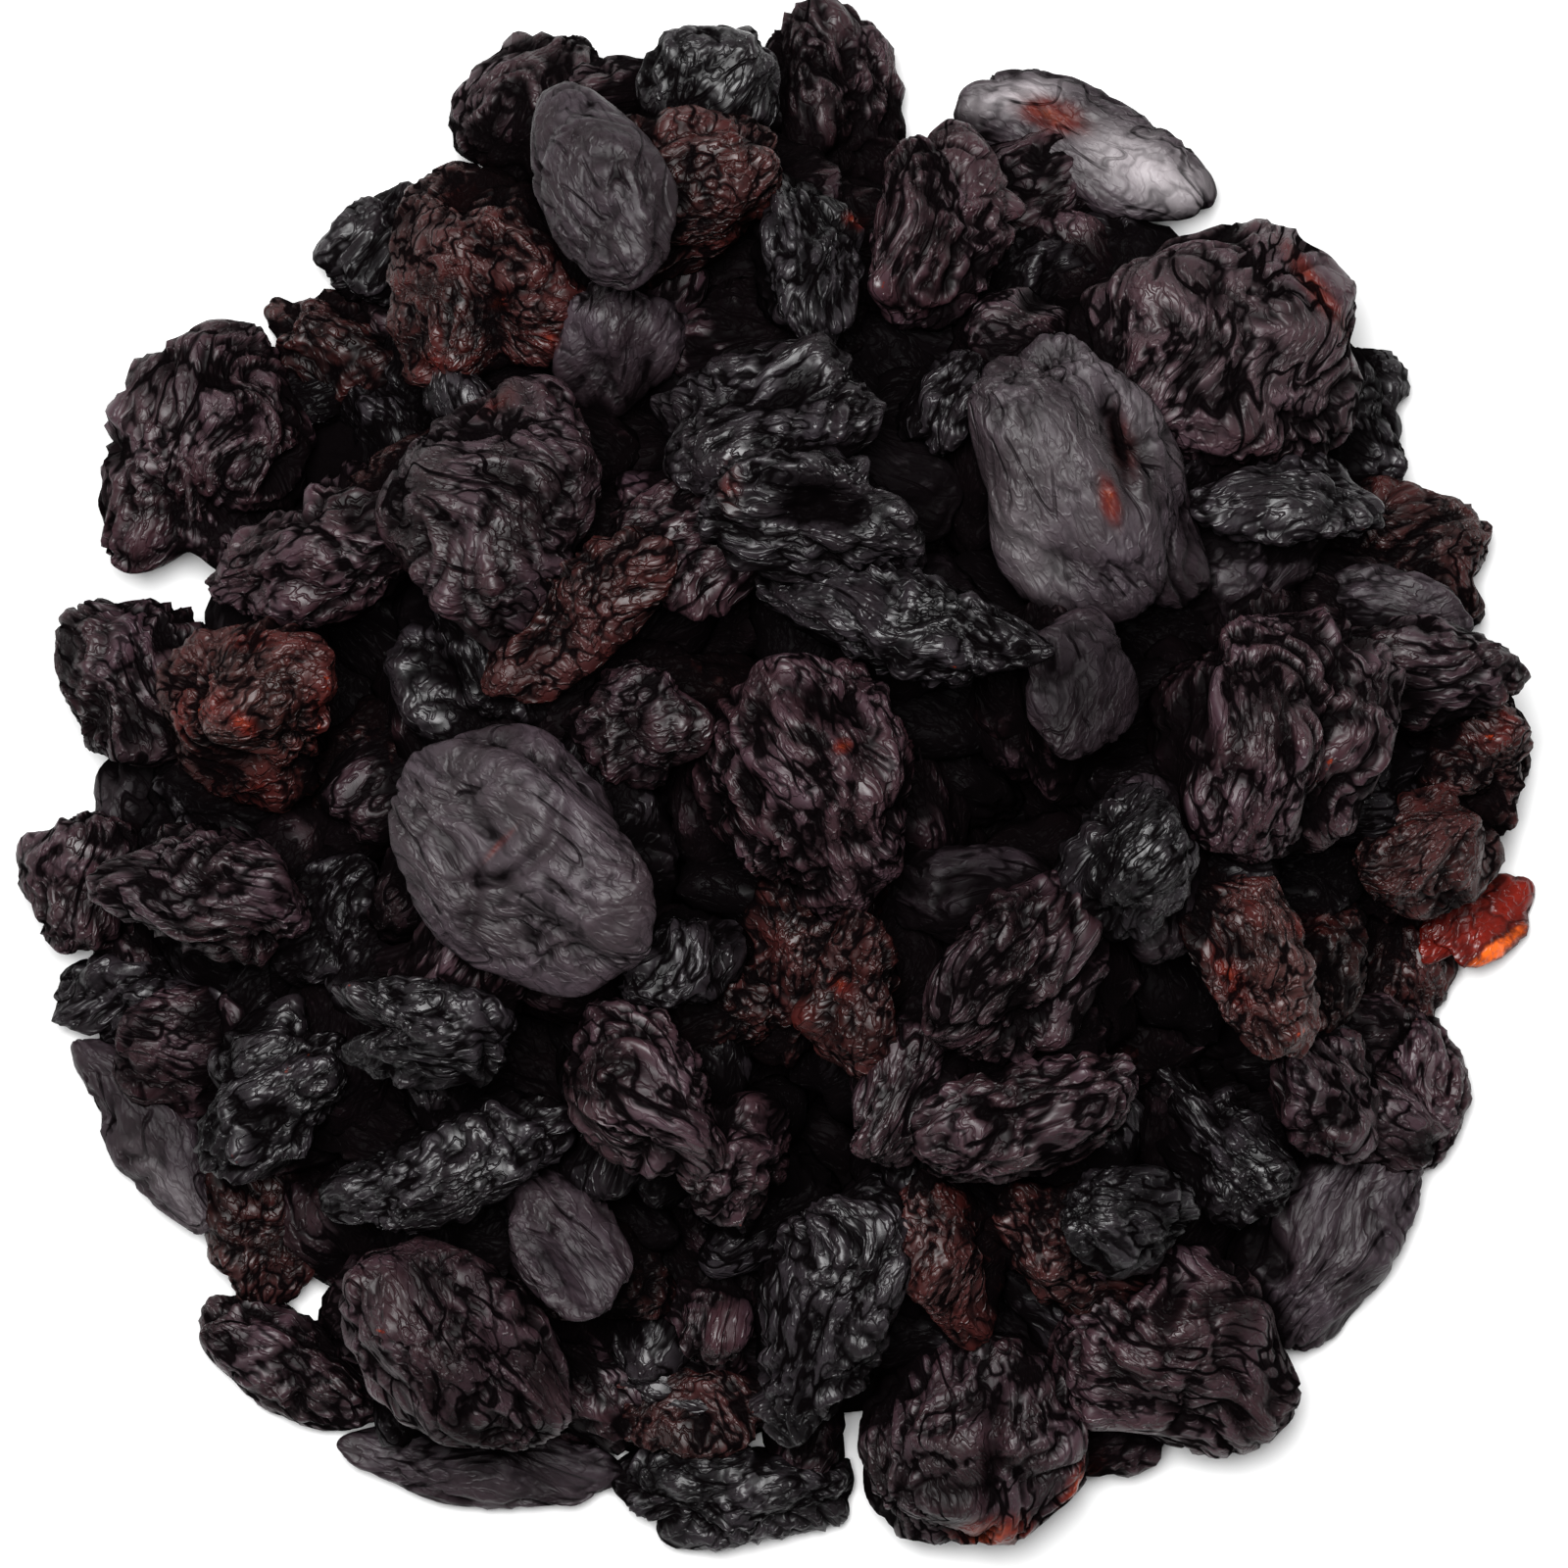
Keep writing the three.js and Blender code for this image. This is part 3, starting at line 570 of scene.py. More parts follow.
# For each mark: x, y, half length, half width in mm, turn in degrees, and how deep in mm or how strong
MARKS = {
    "press": [
        (21.4, 21.4, 3.6, 0.6, -78, 1.5), (17.0, 12.6, 3.0, 0.3, -50, 0.5),
        (17.4, 43.4, 2.6, 1.2, -20, 0.5), (2.0, 5.2, 3.0, 1.1, -25, 1.6), (13.4, -42.6, 5.0, 0.6, 85, 1.3),
        (2.3, 18.0, 3.4, 1.5, -12, 2.0), (-18.2, -4.2, 2.6, 0.35, 47, 0.5),
        (-18.4, -5.9, 2.2, 0.45, 12, 0.9), (-15.7, -4.6, 2.2, 0.45, 38, 0.9),
        (-14.2, -1.8, 2.4, 0.45, 76, 0.8), (-19.8, -7.8, 2.4, 0.40, 80, 0.7),
        (-34.4, 23.6, 1.6, 1.0, 60, 1.2), (-18.6, -36.4, 2.2, 0.9, -50, 1.0),
        (27.6, 30.0, 4.5, 0.3, 82, 0.7), (-15.2, -30.6, 3.0, 1.0, -60, 1.3),
    ],
    # Painted shade on raisins that lie in their neighbours' shade
    "shade": [
        (18.8, 6.2, 6.0, 5.0, 90, 0.78), (12.0, -6.6, 6.0, 4.5, 0, 0.6),
        (-13.0, -31.0, 4.0, 3.0, -55, 0.35), (-22.0, -35.0, 8.0, 6.0, -50, 0.35),
        (-10.5, 28.0, 5.0, 4.0, 70, 0.28), (-11.8, 38.0, 8.0, 6.0, -62, 0.12),
        (-41.0, -21.2, 8.0, 2.8, -55, 0.6), (-19.2, -42.8, 8.0, 2.0, -12, 0.65),
        (35.2, -30.0, 9.0, 7.0, 55, 0.2),
    ],
    "red": [
        (20.7, 18.0, 1.6, 0.6, -75, 0.75), (21.6, 21.8, 3.0, 1.0, -78, 0.3), (4.6, 36.1, 0.7, 0.6, 0, 1.0),
        (3.75, 2.4, 0.6, 0.4, 20, 1.0), (3.4, -12.7, 0.6, 0.5, 0, 1.0), (-18.4, 30.9, 0.7, 0.5, 30, 1.0),
        (-15.0, 28.6, 0.7, 0.4, -40, 0.8), (-34.6, 3.9, 1.2, 0.6, -40, 0.9),
        (-18.4, 24.4, 1.8, 1.0, 30, 0.3), (-23.0, 27.0, 1.4, 0.9, 0, 0.45),
        (17.4, 43.4, 2.4, 1.1, -20, 0.7), (-18.0, -3.8, 2.0, 0.25, 47, 0.4),
        (-3.4, 18.8, 0.8, 1.8, 0, 0.35), (34.0, 32.0, 3.6, 0.7, -55, 0.7), (30.0, 36.6, 2.6, 0.6, -15, 0.6),
        (13.2, -48.6, 2.8, 1.1, 15, 1.1), (19.2, -45.4, 2.0, 0.9, 60, 1.1),
        (-20.4, 38.6, 1.8, 0.9, 50, 0.8), (-34.3, 9.2, 3.2, 0.8, 0, 0.5), (-38.8, 4.5, 3.2, 0.8, 90, 0.5),
        (-34.0, -0.4, 3.4, 0.8, 0, 0.5), (-29.8, 4.5, 3.0, 0.7, 90, 0.4), (-36.4, 5.0, 1.6, 1.4, 0, 0.45),
        (46.2, -10.8, 3.4, 0.8, 38, 1.05), (28.6, -12.6, 2.4, 0.7, -60, 0.7),
        (33.6, -9.0, 1.6, 0.8, 0, 0.6), (46.6, 4.0, 2.4, 0.8, 80, 0.4),
    ],
    # Pale patches painted as a highlight where a raisin catches light
    "pale": [
        (-16.9, -4.5, 8.0, 5.5, -35, 0.03), (27.8, 28.4, 8.0, 6.0, -15, 0.16),
        (-34.3, 4.5, 4.0, 4.0, 0, 0.13), (32.6, -12.0, 4.0, 3.0, -60, 0.13),
        (17.0, 20.0, 6.0, 4.0, -60, 0.05), (23.6, 39.6, 4.6, 1.7, -30, 0.6),
        (15.0, 44.6, 2.6, 0.9, 10, 0.7), (15.6, 15.0, 4.0, 1.6, -60, 0.12),
        (-39.6, -26.4, 4.0, 0.9, -52, 0.12),
    ],
}


def marked(placed, upward):
    """Each mark is a bell over the heap seen from above, on the upper skin only. It presses the skin down,
    or makes it red, or paints a pale highlight or shade on it, and a pressed hollow gets painted shade by
    its depth. Returns the points, how red each is, its painted highlight and its painted shade."""
    placed = placed.copy()
    strength = {what: np.zeros(len(placed)) for what in MARKS}
    top = between(*UPPER_SIDE, upward[:, 2])
    for what, rows in MARKS.items():
        for x, y, half_length, half_width, turn, amount in rows:
            angle = math.radians(turn)
            dx, dy = placed[:, 0] - x, placed[:, 1] - y
            along = (dx * math.cos(angle) + dy * math.sin(angle)) / half_length
            across = (dy * math.cos(angle) - dx * math.sin(angle)) / half_width
            bell = amount * np.exp(-(along**2) - across**2) * top
            strength[what] = np.maximum(strength[what], bell)
            if what == "press":
                placed[:, 2] -= bell
    hollow = np.maximum(strength["shade"], HOLLOW_SHADE * between(*HOLLOW_DEPTHS, strength["press"]))
    return placed, strength["red"], strength["pale"], hollow


print("marks:", {what: len(rows) for what, rows in MARKS.items()})

# %% [markdown]
# ## Light between the raisins
#
# Little light reaches down between the raisins. The height map tells how much open sky each point has, and
# the finishes darken the skin by it.

# %% How much sky a point sees, for painted shade
MEAN_SPREAD = 4
SKY_WAYS = 10
SKY_DISTANCES = (1.8, 3.2, 5.0, 8.0)
OPEN_LEAST, OPEN_MOST = 0.34, 0.90


def smoothed(field, spread):
    """The mean over a square of cells, by differences of running sums."""
    side = 2 * spread + 1
    padded = np.pad(field, spread + 1, mode="edge")[:-1, :-1]
    sums = padded.cumsum(0).cumsum(1)
    return (sums[side:, side:] - sums[:-side, side:] - sums[side:, :-side] + sums[:-side, :-side]) / side**2


def height_at(x, y, field):
    """The field between cells, weighted by how near the four cells round a point are."""
    column, row = (np.clip(v + GRID_REACH, 0, 2 * GRID_REACH - 1) for v in (x, y))
    left, low = np.floor(column).astype(int), np.floor(row).astype(int)
    right, up = column - left, row - low
    lower = field[low, left] * (1 - right) + field[low, left + 1] * right
    upper = field[low + 1, left] * (1 - right) + field[low + 1, left + 1] * right
    return lower * (1 - up) + upper * up


def open_sky(points):
    """How much of the sky each point sees: the mean over directions of the squared cosine of the horizon's
    height, where the horizon is the steepest line of sight to the heap's height map."""
    x, y, z = points.T
    seen = np.zeros(len(points))
    for angle in np.arange(SKY_WAYS) * 2 * np.pi / SKY_WAYS:
        horizon = np.zeros(len(points))
        for apart in SKY_DISTANCES:
            there = height_at(x + apart * math.cos(angle), y + apart * math.sin(angle), heights)
            horizon = np.maximum(horizon, (there - z) / apart)
        seen += 1 / (1 + horizon**2)
    return seen / SKY_WAYS


mean_heights = smoothed(heights, MEAN_SPREAD)
print("mean height at the middle:", mean_heights[GRID_REACH, GRID_REACH].round(1), "mm")

# %% Build the pieces, kind by kind
# The area that a raisin shows, in square millimetres: the least, and the most
LEVELS = {"top": (60, 10**6), "side": (25, 60), "low": (0, 25)}
SLOTS = {"plum": "plum_skin", "broad": "plum_skin", "black": "black_skin", "smooth": "smooth_skin",
         "russet": "russet_skin", "amber": "amber_flesh"}
RELIEF_REACH = 0.6
LOWEST = 0.01
# Each raisin has its own part of the pattern, this many millimetres wide, and its own tint
PATTERN_REACH, PATTERN_DRAWS, TINT_DRAW = 40, np.array([5, 6, 7]), 8
total = 0


def piece_of(name, chosen, slot):
    """The chosen raisins, each with the area it shows, joined into one mesh. Returns its triangles."""
    points, corners, counts = [], [], []
    values = {"skin": [], "relief": [], "tint": [], "scar": [], "pale": [], "buried": [], "hollow": []}
    offset = 0
    for raisin, area in chosen:
        placed, (face_corners, face_counts), local, relief, upward = skin_of(raisin, area)
        placed, red, pale, hollow = marked(placed, upward)
        placed[:, 2] = np.maximum(placed[:, 2], LOWEST)
        points.append(placed)
        corners.append(face_corners + offset)
        counts.append(face_counts)
        values["skin"].append(local + PATTERN_REACH * draw(raisin["first"] + PATTERN_DRAWS))
        values["relief"].append(0.5 + 0.5 * np.clip(relief / RELIEF_REACH, -1, 1))
        values["tint"].append(np.full(len(placed), float(draw(raisin["first"] + TINT_DRAW))))
        values["scar"].append(red)
        values["pale"].append(pale)
        # Painted shade where a point sees little open sky above it
        values["buried"].append(1 - between(OPEN_LEAST, OPEN_MOST, open_sky(placed)))
        values["hollow"].append(hollow)
        offset += len(placed)
    attributes = {label: np.concatenate(parts) for label, parts in values.items()}
    joined = (np.concatenate(parts) for parts in (points, corners, counts))
    return add_piece(name, *joined, attributes, slot)


for kind in SLOTS:
    for level, (least, most) in LEVELS.items():
        of_kind = [(raisin, area) for raisin, area in zip(raisins, shown) if raisin["kind"] == kind]
        chosen = [(raisin, area) for raisin, area in of_kind if least <= area < most]
        if chosen:
            total += piece_of(f"raisins_{kind}_{level}", chosen, SLOTS[kind])
print("triangles in all raisins:", total)

# %% [markdown]
# ## The dark inside of the heap
#
# Down the gaps between raisins the eye meets more raisins in deep shade, never the table. They are laid
# here as a bed: where the height map has a gap, a plain raisin lies below it, sunk into a low core. The
# core follows the height map from below, and its edge stays behind the rim.

# %% The bed
BED_STEP, BED_MARGIN = 5.5, 10
BED_LENGTH, BED_SPREAD, BED_FORM = 9.0, 3.0, np.array([1, 0.7, 0.55])
BED_BELOW, BED_LEAST, BED_LOW_SHARE = 5.0, 2.4, 0.27
BED_TILT = 0.5
BED_FIRST = 40000
BED_KINDS = ["plum", "black"]
# A gap is where more than this many cells near a spot lie this far below the mean height
GAP_REACH, GAP_CELLS, GAP_BELOW = 3, 2, 4.3
# A thin place at the left that the grid misses, and seams between rim raisins: x, y and, for a seam, the
# length of the raisin that fills it
THIN_SPOT = (-37.0, -17.5)
SEAM_SPOTS = [
    (-13.2, -40.8, 5.5), (-24.2, -39.6, 6.0), (37.2, -16.5, 10.5), (37.6, -21.5, 10.5),
    (1.6, -41.6, 8.0), (22.6, 33.6, 8.0), (-30.6, 25.0, 6.0), (-25.0, 29.8, 6.0),
    (-42.4, -10.7, 7.0), (-41.8, -15.8, 6.0),
]
EDGE_INSIDE, EDGE_MARGIN = 4.0, 2.5
RAY_STEP, RAY_MARGIN, HEAP_LEAST, NEIGHBOURS = 0.5, 2, 0.5, 3
CORE_COLUMNS, CORE_RINGS = 120, 45


def edge_reach():
    """How far out the heap reaches in each direction, taken where it is least over a few neighbours."""
    around = np.linspace(0, 2 * np.pi, CORE_COLUMNS, endpoint=False)
    out = np.arange(0, GRID_REACH - RAY_MARGIN, RAY_STEP)
    on_ray = height_at(np.outer(np.cos(around), out), np.outer(np.sin(around), out), heights)
    farthest = np.where(on_ray > HEAP_LEAST, out, 0).max(1)
    near = np.stack([np.roll(farthest, turn) for turn in range(-NEIGHBOURS, NEIGHBOURS + 1)])
    return near.min(0) - EDGE_INSIDE


def gap_spots():
    """A grid of spots inside the edge, set off in every other row, that have a gap close by."""
    edge = edge_reach()
    rows = np.arange(-GRID_REACH + BED_MARGIN, GRID_REACH - BED_MARGIN, BED_STEP)
    spots = []
    for number, y in enumerate(rows):
        for x in rows + BED_STEP / 2 * (number % 2):
            turn = (math.atan2(y, x) / (2 * math.pi)) % 1
            inside = math.hypot(x, y) <= edge[int(turn * CORE_COLUMNS)] - EDGE_MARGIN
            row, column = round(y) + GRID_REACH, round(x) + GRID_REACH
            patch = np.s_[row - GAP_REACH:row + GAP_REACH + 1, column - GAP_REACH:column + GAP_REACH + 1]
            low = heights[patch] < mean_heights[patch] - GAP_BELOW
            if inside and low.sum() > GAP_CELLS:
                spots.append((x, y))
    return spots


def bed_raisins():
    """A plain raisin at each spot, below the mean height there, or low on the table at the rim."""
    made = []
    for number, (x, y, *given) in enumerate([THIN_SPOT] + gap_spots() + SEAM_SPOTS):
        first = BED_FIRST + DRAWS_PER_RAISIN * number
        size, turn, lean_x, lean_y, kind = draw(first + np.arange(DRAWS_PER_SPOT))
        out = np.array([BED_TILT * (lean_x - 0.5), BED_TILT * (lean_y - 0.5), 1.0])
        length = given[0] if given else BED_LENGTH + BED_SPREAD * size
        mean = float(height_at(np.array([x]), np.array([y]), mean_heights)[0])
        z = max(mean - BED_BELOW, min(BED_LEAST, BED_LOW_SHARE * length))
        made.append({"kind": BED_KINDS[int(kind * len(BED_KINDS))], "first": first,
                     "centre": np.array([x, y, z]), "axes": axes_for(out, 2 * np.pi * turn),
                     "reach": BED_FORM * length / 2, "order": FOLDS_ALONG})
    return made


bed = bed_raisins()
print("raisins in the bed:", len(bed))
for kind in BED_KINDS:
    chosen = [(raisin, 0) for raisin in bed if raisin["kind"] == kind]
    total += piece_of(f"raisins_{kind}_bed", chosen, SLOTS[kind])

# %% The core
CORE_BELOW, CORE_RIM, CORE_ROUNDING = 4.8, 2.6, 12
CORE_RIPPLE, CORE_SEED, CORE_RELIEF, CORE_LOWEST = 3.4, 7, 0.7, 0.02
CORE_RELIEF_SHOWN = 0.4


def core_mesh():
    """Rings of points at equal shares of the way out, on the lowered map, with a flat underside. The edge
    rounds off as the root of one less a high power of the share."""
    share = np.linspace(0, 1, CORE_RINGS + 1)[1:, None]
    around = np.linspace(0, 2 * np.pi, CORE_COLUMNS, endpoint=False)[None, :]
    reach = edge_reach()[None, :]
    x = np.append(0.0, share * reach * np.cos(around))
    y = np.append(0.0, share * reach * np.sin(around))
    shares = np.append(0.0, np.repeat(share[:, 0], CORE_COLUMNS))
    edge = CORE_RIM * np.sqrt(1 - shares**CORE_ROUNDING)
    flat = np.stack([x, y, np.zeros(len(x))], 1)
    rise, _ = pillows(*ripples(flat, CORE_RIPPLE, CORE_SEED))
    z = np.maximum(height_at(x, y, mean_heights) - CORE_BELOW, edge) + CORE_RELIEF * rise * edge / CORE_RIM
    z = np.maximum(z, CORE_LOWEST)
    last = len(x) - CORE_COLUMNS
    foot = np.stack([x[last:], y[last:], np.zeros(CORE_COLUMNS)], 1)
    points = np.concatenate([np.stack([x, y, z], 1), foot, [[0.0, 0.0, 0.0]]])
    corners, counts = faces_of(CORE_COLUMNS, CORE_RINGS + 2)
    return points, corners, counts, np.concatenate([rise, np.zeros(CORE_COLUMNS + 1)])


points, corners, counts, rise = core_mesh()
plain = np.zeros(len(points))
# The core is in full painted shade, with no painted highlight
attributes = {"skin": points, "relief": 0.5 + CORE_RELIEF_SHOWN * np.clip(rise, -1, 1), "tint": plain,
              "scar": plain, "pale": plain, "buried": plain + 1, "hollow": plain}
total += add_piece("heap_core", points, corners, counts, attributes, "shaded_core")
print("triangles in all:", total)

# %% [markdown]
# ## Writing a finish as a sum
#
# A finish is a small tree of nodes. Drawing it node by node hides what it says. A thin wrapper lets a node's
# output be used like a number, so that a roughness can be written as a sum of its causes.

# %% The wrapper


class Wire:
    """One output of a shader node, to be added, subtracted, multiplied or made positive like a number."""

    def __init__(self, finish, socket):
        self.finish = finish
        self.socket = socket

    def _math(self, operation, first, second):
        """The wire of a new Math node on two values."""
        return self.finish.node("ShaderNodeMath", {"operation": operation}, {0: first, 1: second})

    def __add__(self, other):
        return self._math("ADD", self, other)

    __radd__ = __add__

    def __sub__(self, other):
        return self._math("SUBTRACT", self, other)

    def __rsub__(self, other):
        return self._math("SUBTRACT", other, self)

    def __mul__(self, other):
        return self._math("MULTIPLY", self, other)

    __rmul__ = __mul__

    def __abs__(self):
        return self._math("ABSOLUTE", self, 0.0)


class Finish:
    """A material whose nodes are made by one method: type, settings first, then the values of sockets."""

    def __init__(self, name):
        self.material = bpy.data.materials.new(name)
        self.material.use_nodes = True
        self.tree = self.material.node_tree
        self.shader = self.tree.nodes["Principled BSDF"]
        self.shader_wire = Wire(self, self.shader.outputs[0])

    def node(self, kind, settings, inputs, output=0):
        """A new node with its settings and inputs. Returns the wire of one output."""
        made = self.tree.nodes.new(kind)
        for name, value in settings.items():
            setattr(made, name, value)
        for name, value in inputs.items():
            self.feed(made.inputs[name], value)
        return Wire(self, made.outputs[output])

    def feed(self, socket, value):
        """Link a wire to a socket, or set a constant on it."""
        if isinstance(value, Wire):
            self.tree.links.new(value.socket, socket)
        else:
            socket.default_value = value

    def attribute(self, name, output="Fac"):
        """What the mesh carries under this name."""
        return self.node("ShaderNodeAttribute", {"attribute_name": name}, {}, output)

    def noise(self, place, scale, detail, roughness):
        """Smooth noise from 0 to 1, mostly near a half."""
        settings = {"noise_dimensions": "3D", "noise_type": "FBM", "normalize": True}
        inputs = {"Vector": place, "Scale": scale, "Detail": detail, "Roughness": roughness}
        return self.node("ShaderNodeTexNoise", settings, inputs)

    def step(self, value, low, high):
        """A smooth step from 0 at low to 1 at high."""
        settings = {"interpolation_type": "SMOOTHSTEP", "clamp": True}
        inputs = {"Value": value, "From Min": low, "From Max": high}
        return self.node("ShaderNodeMapRange", settings, inputs)

    def blend(self, share, first, second):
        """Colour first where share is 0, second where it is 1."""
        settings = {"data_type": "RGBA", "clamp_factor": True}
        return self.node("ShaderNodeMix", settings, {0: share, 6: first, 7: second}, output=2)

    def stretched(self, place, stretch):
        """The same place with each direction scaled, so that a pattern runs lengthwise."""
        return self.node("ShaderNodeVectorMath", {"operation": "MULTIPLY"}, {0: place, 1: stretch})


print("a finish is made of:", [name for name in vars(Finish) if not name.startswith("_")])

# %% [markdown]
# ## Raisin skin
#
# Dried grape skin is nearly black, so most of what is seen is light mirrored off it. Three things make it
# read as skin: creases that stay dull and dark while the tops of folds shine, with the dark painted on as
# shade, fine wrinkles smaller than the mesh can hold, and a patchy bloom of sugar and dust that is rougher
# and greyer. The colours differ a little from one raisin to the next.

# %% One recipe for all skins
# Colour and roughness of the dull near-black skin that is mixed in as painted shade
PAINTED_SHADE_COLOUR, PAINTED_SHADE_ROUGHNESS = (0.0015, 0.0010, 0.0012, 1), 0.8
DEEP_RED = (0.075, 0.006, 0.004, 1)
SKIN_IOR, MOST_DARK, PORE_HEIGHT = 1.45, 0.97, 0.01
# Each noise has a scale per millimetre of skin, a detail and a roughness
PATCHES, SPECKS, PORES, STREAKS = (0.22, 3.0, 0.6), (0.9, 3.0, 0.65), (5.0, 1.0, 0.6), (3.2, 1.0, 0.6)
WIDE_NET, FINE_NET, LONG_LINES = (0.8, 1.5, 0.5), (1.4, 1.5, 0.6), (0.45, 1.0, 0.5)
CRACKED = (0.35, 1.0, 0.5)
LINE_STRETCH = (0.5, 1.0, 1.0)
# Each step goes from 0 at the first value to 1 at the second
CRACKED_STEP, CRACK_EDGE, CREASE_EDGE, DUSTY_STEP = (0.42, 0.58), (0.004, 0.035), (0.01, 0.07), (0.40, 0.60)
LIT_STEP, BLOOM_STEP, LOW_STEP, SHADE_STEP = (0.10, 0.95), (0.50, 0.80), (0.18, 0.66), (0.0, 1.05)
RED_STEP, SPOT_STEP, WIDE_RISE, FINE_RISE = (0.05, 0.55), (0.50, 1.00), (0.0, 0.10), (0.0, 0.07)
SPECK_LEAST, SPECK_SPAN = 1.02, 0.10
# How much each cause counts in a sum
LIT_PATCHES, LIT_TINT, LIT_STREAKS, LIT_LESS = 0.7, 0.3, 0.4, 0.7
BLOOM_PORES, BLOOM_SHARE, PAINTED_HIGHLIGHT_LEAST, SPECK_RELIEF = 0.25, 0.8, 0.4, 0.35
SCAR_LEAST, SCAR_SPECKS = 0.3, 1.4
ROUGH_PATCHES, ROUGH_RELIEF, ROUGH_PORES, ROUGH_PADS = 0.25, 0.12, 0.10, 0.5
# Shares of painted shade: in cracks, low on the relief, in creases, and where little sky is open
CREASE_LEAST, DARK_CRACK, DARK_LOW, DARK_CREASE, SKY_SHADE_SHARE = 0.3, 3.0, 0.7, 0.6, 1.25


def skin_nets(finish, place, grain):
    """Three sets of lines, each where a noise that is stretched along the raisin passes a half. Returns how
    far a point is from the lines of a wide net and of a fine one, how deep in a long crack it is, and a
    noise of streaks."""
    flow = finish.stretched(place, (grain, 1.0, 1.0))
    wide = abs(finish.noise(flow, *WIDE_NET) - 0.5)
    fine = abs(finish.noise(flow, *FINE_NET) - 0.5)
    long = finish.noise(finish.stretched(flow, LINE_STRETCH), *LONG_LINES)
    cracked = finish.step(finish.noise(place, *CRACKED), *CRACKED_STEP)
    crack = (1.0 - finish.step(abs(long - 0.5), *CRACK_EDGE)) * cracked
    return wide, fine, crack, finish.noise(flow, *STREAKS)


def skin_finish(name, colours, gloss, folds, wrinkles, cracks, grain, spots, crease_shade_strength):
    """Colour goes from deep to ridge with the relief, which is partly the skin's own tone and partly painted
    shade in the creases, then to bloom in patches, then to a pale painted highlight where marked, and to red
    on scars and specks. Roughness is the gloss plus shares of the patches and pores, less shares of the
    relief and of how far the creases are. Bump is flat pads between creases, plus thin raised lines, less
    long cracks, in millimetres. As painted shade, the skin gives way to a dull near-black one in cracks and
    creases, where little sky is open above it, in hollows and in shaded spots."""
    deep, ridge, bloom, spot, pale = [(*colour, 1) for colour in colours]
    finish = Finish(name)
    place = finish.attribute("skin", "Vector")
    relief, tint, scar = finish.attribute("relief"), finish.attribute("tint"), finish.attribute("scar")
    patches, specks = finish.noise(place, *PATCHES), finish.noise(place, *SPECKS)
    pores = finish.noise(place, *PORES)
    wide, fine, crack, streaks = skin_nets(finish, place, grain)
    # Deep in the creases and ridge colour on the folds: partly the skin's own tone, partly painted shade in
    # the creases
    lit = relief + LIT_PATCHES * patches + LIT_TINT * tint + LIT_STREAKS * streaks - LIT_LESS
    colour = finish.blend(finish.step(lit, *LIT_STEP), deep, ridge)
    dusty = finish.step(patches + BLOOM_PORES * pores, *BLOOM_STEP) * BLOOM_SHARE * relief
    colour = finish.blend(dusty, colour, bloom)
    # Painted highlight: a pale sheen blended in where marked
    colour = finish.blend(finish.attribute("pale") * (PAINTED_HIGHLIGHT_LEAST + specks), colour, pale)
    fewest = SPECK_LEAST - spots
    marks = finish.step(specks + SPECK_RELIEF * relief, fewest, fewest + SPECK_SPAN)
    red = scar * (SCAR_LEAST + SCAR_SPECKS * specks) + marks
    colour = finish.blend(finish.step(red, *RED_STEP), colour, DEEP_RED)
    colour = finish.blend(finish.step(red, *SPOT_STEP), colour, spot)
    finish.feed(finish.shader.inputs["Base Color"], colour)
    rough = gloss + ROUGH_PATCHES * patches - ROUGH_RELIEF * relief + ROUGH_PORES * pores
    finish.feed(finish.shader.inputs["Roughness"], rough - ROUGH_PADS * wide)
    pads = finish.step(wide, *WIDE_RISE) * folds
    lines = (1.0 - finish.step(fine, *FINE_RISE)) * wrinkles
    height = pads + lines - crack * cracks + pores * PORE_HEIGHT
    bump = finish.node("ShaderNodeBump", {}, {"Strength": 1.0, "Distance": MM, "Height": height})
    finish.feed(finish.shader.inputs["Normal"], bump)
    finish.shader.inputs["IOR"].default_value = SKIN_IOR
    # Painted shade: cracks, creases, low relief, little open sky, hollows and shaded spots give way to the
    # dull near-black skin
    crease = (1.0 - finish.step(wide, *CREASE_EDGE)) * (CREASE_LEAST + finish.step(patches, *DUSTY_STEP))
    low = 1.0 - finish.step(relief, *LOW_STEP)
    crease_shade_sum = DARK_CRACK * cracks * crack + crease_shade_strength * (DARK_LOW * low + DARK_CREASE * crease)
    shade = finish.step(crease_shade_sum + SKY_SHADE_SHARE * finish.attribute("buried"), *SHADE_STEP)
    dark_share = 1.0 - (1.0 - shade * MOST_DARK) * (1.0 - finish.attribute("hollow"))
    inputs = {"Base Color": PAINTED_SHADE_COLOUR, "Roughness": PAINTED_SHADE_ROUGHNESS, "Specular IOR Level": 0.0}
    painted_shade_skin = finish.node("ShaderNodeBsdfPrincipled", {}, inputs)
    mixed = finish.node("ShaderNodeMixShader", {}, {0: dark_share, 1: finish.shader_wire, 2: painted_shade_skin})
    finish.feed(finish.tree.nodes["Material Output"].inputs["Surface"], mixed)
    return finish


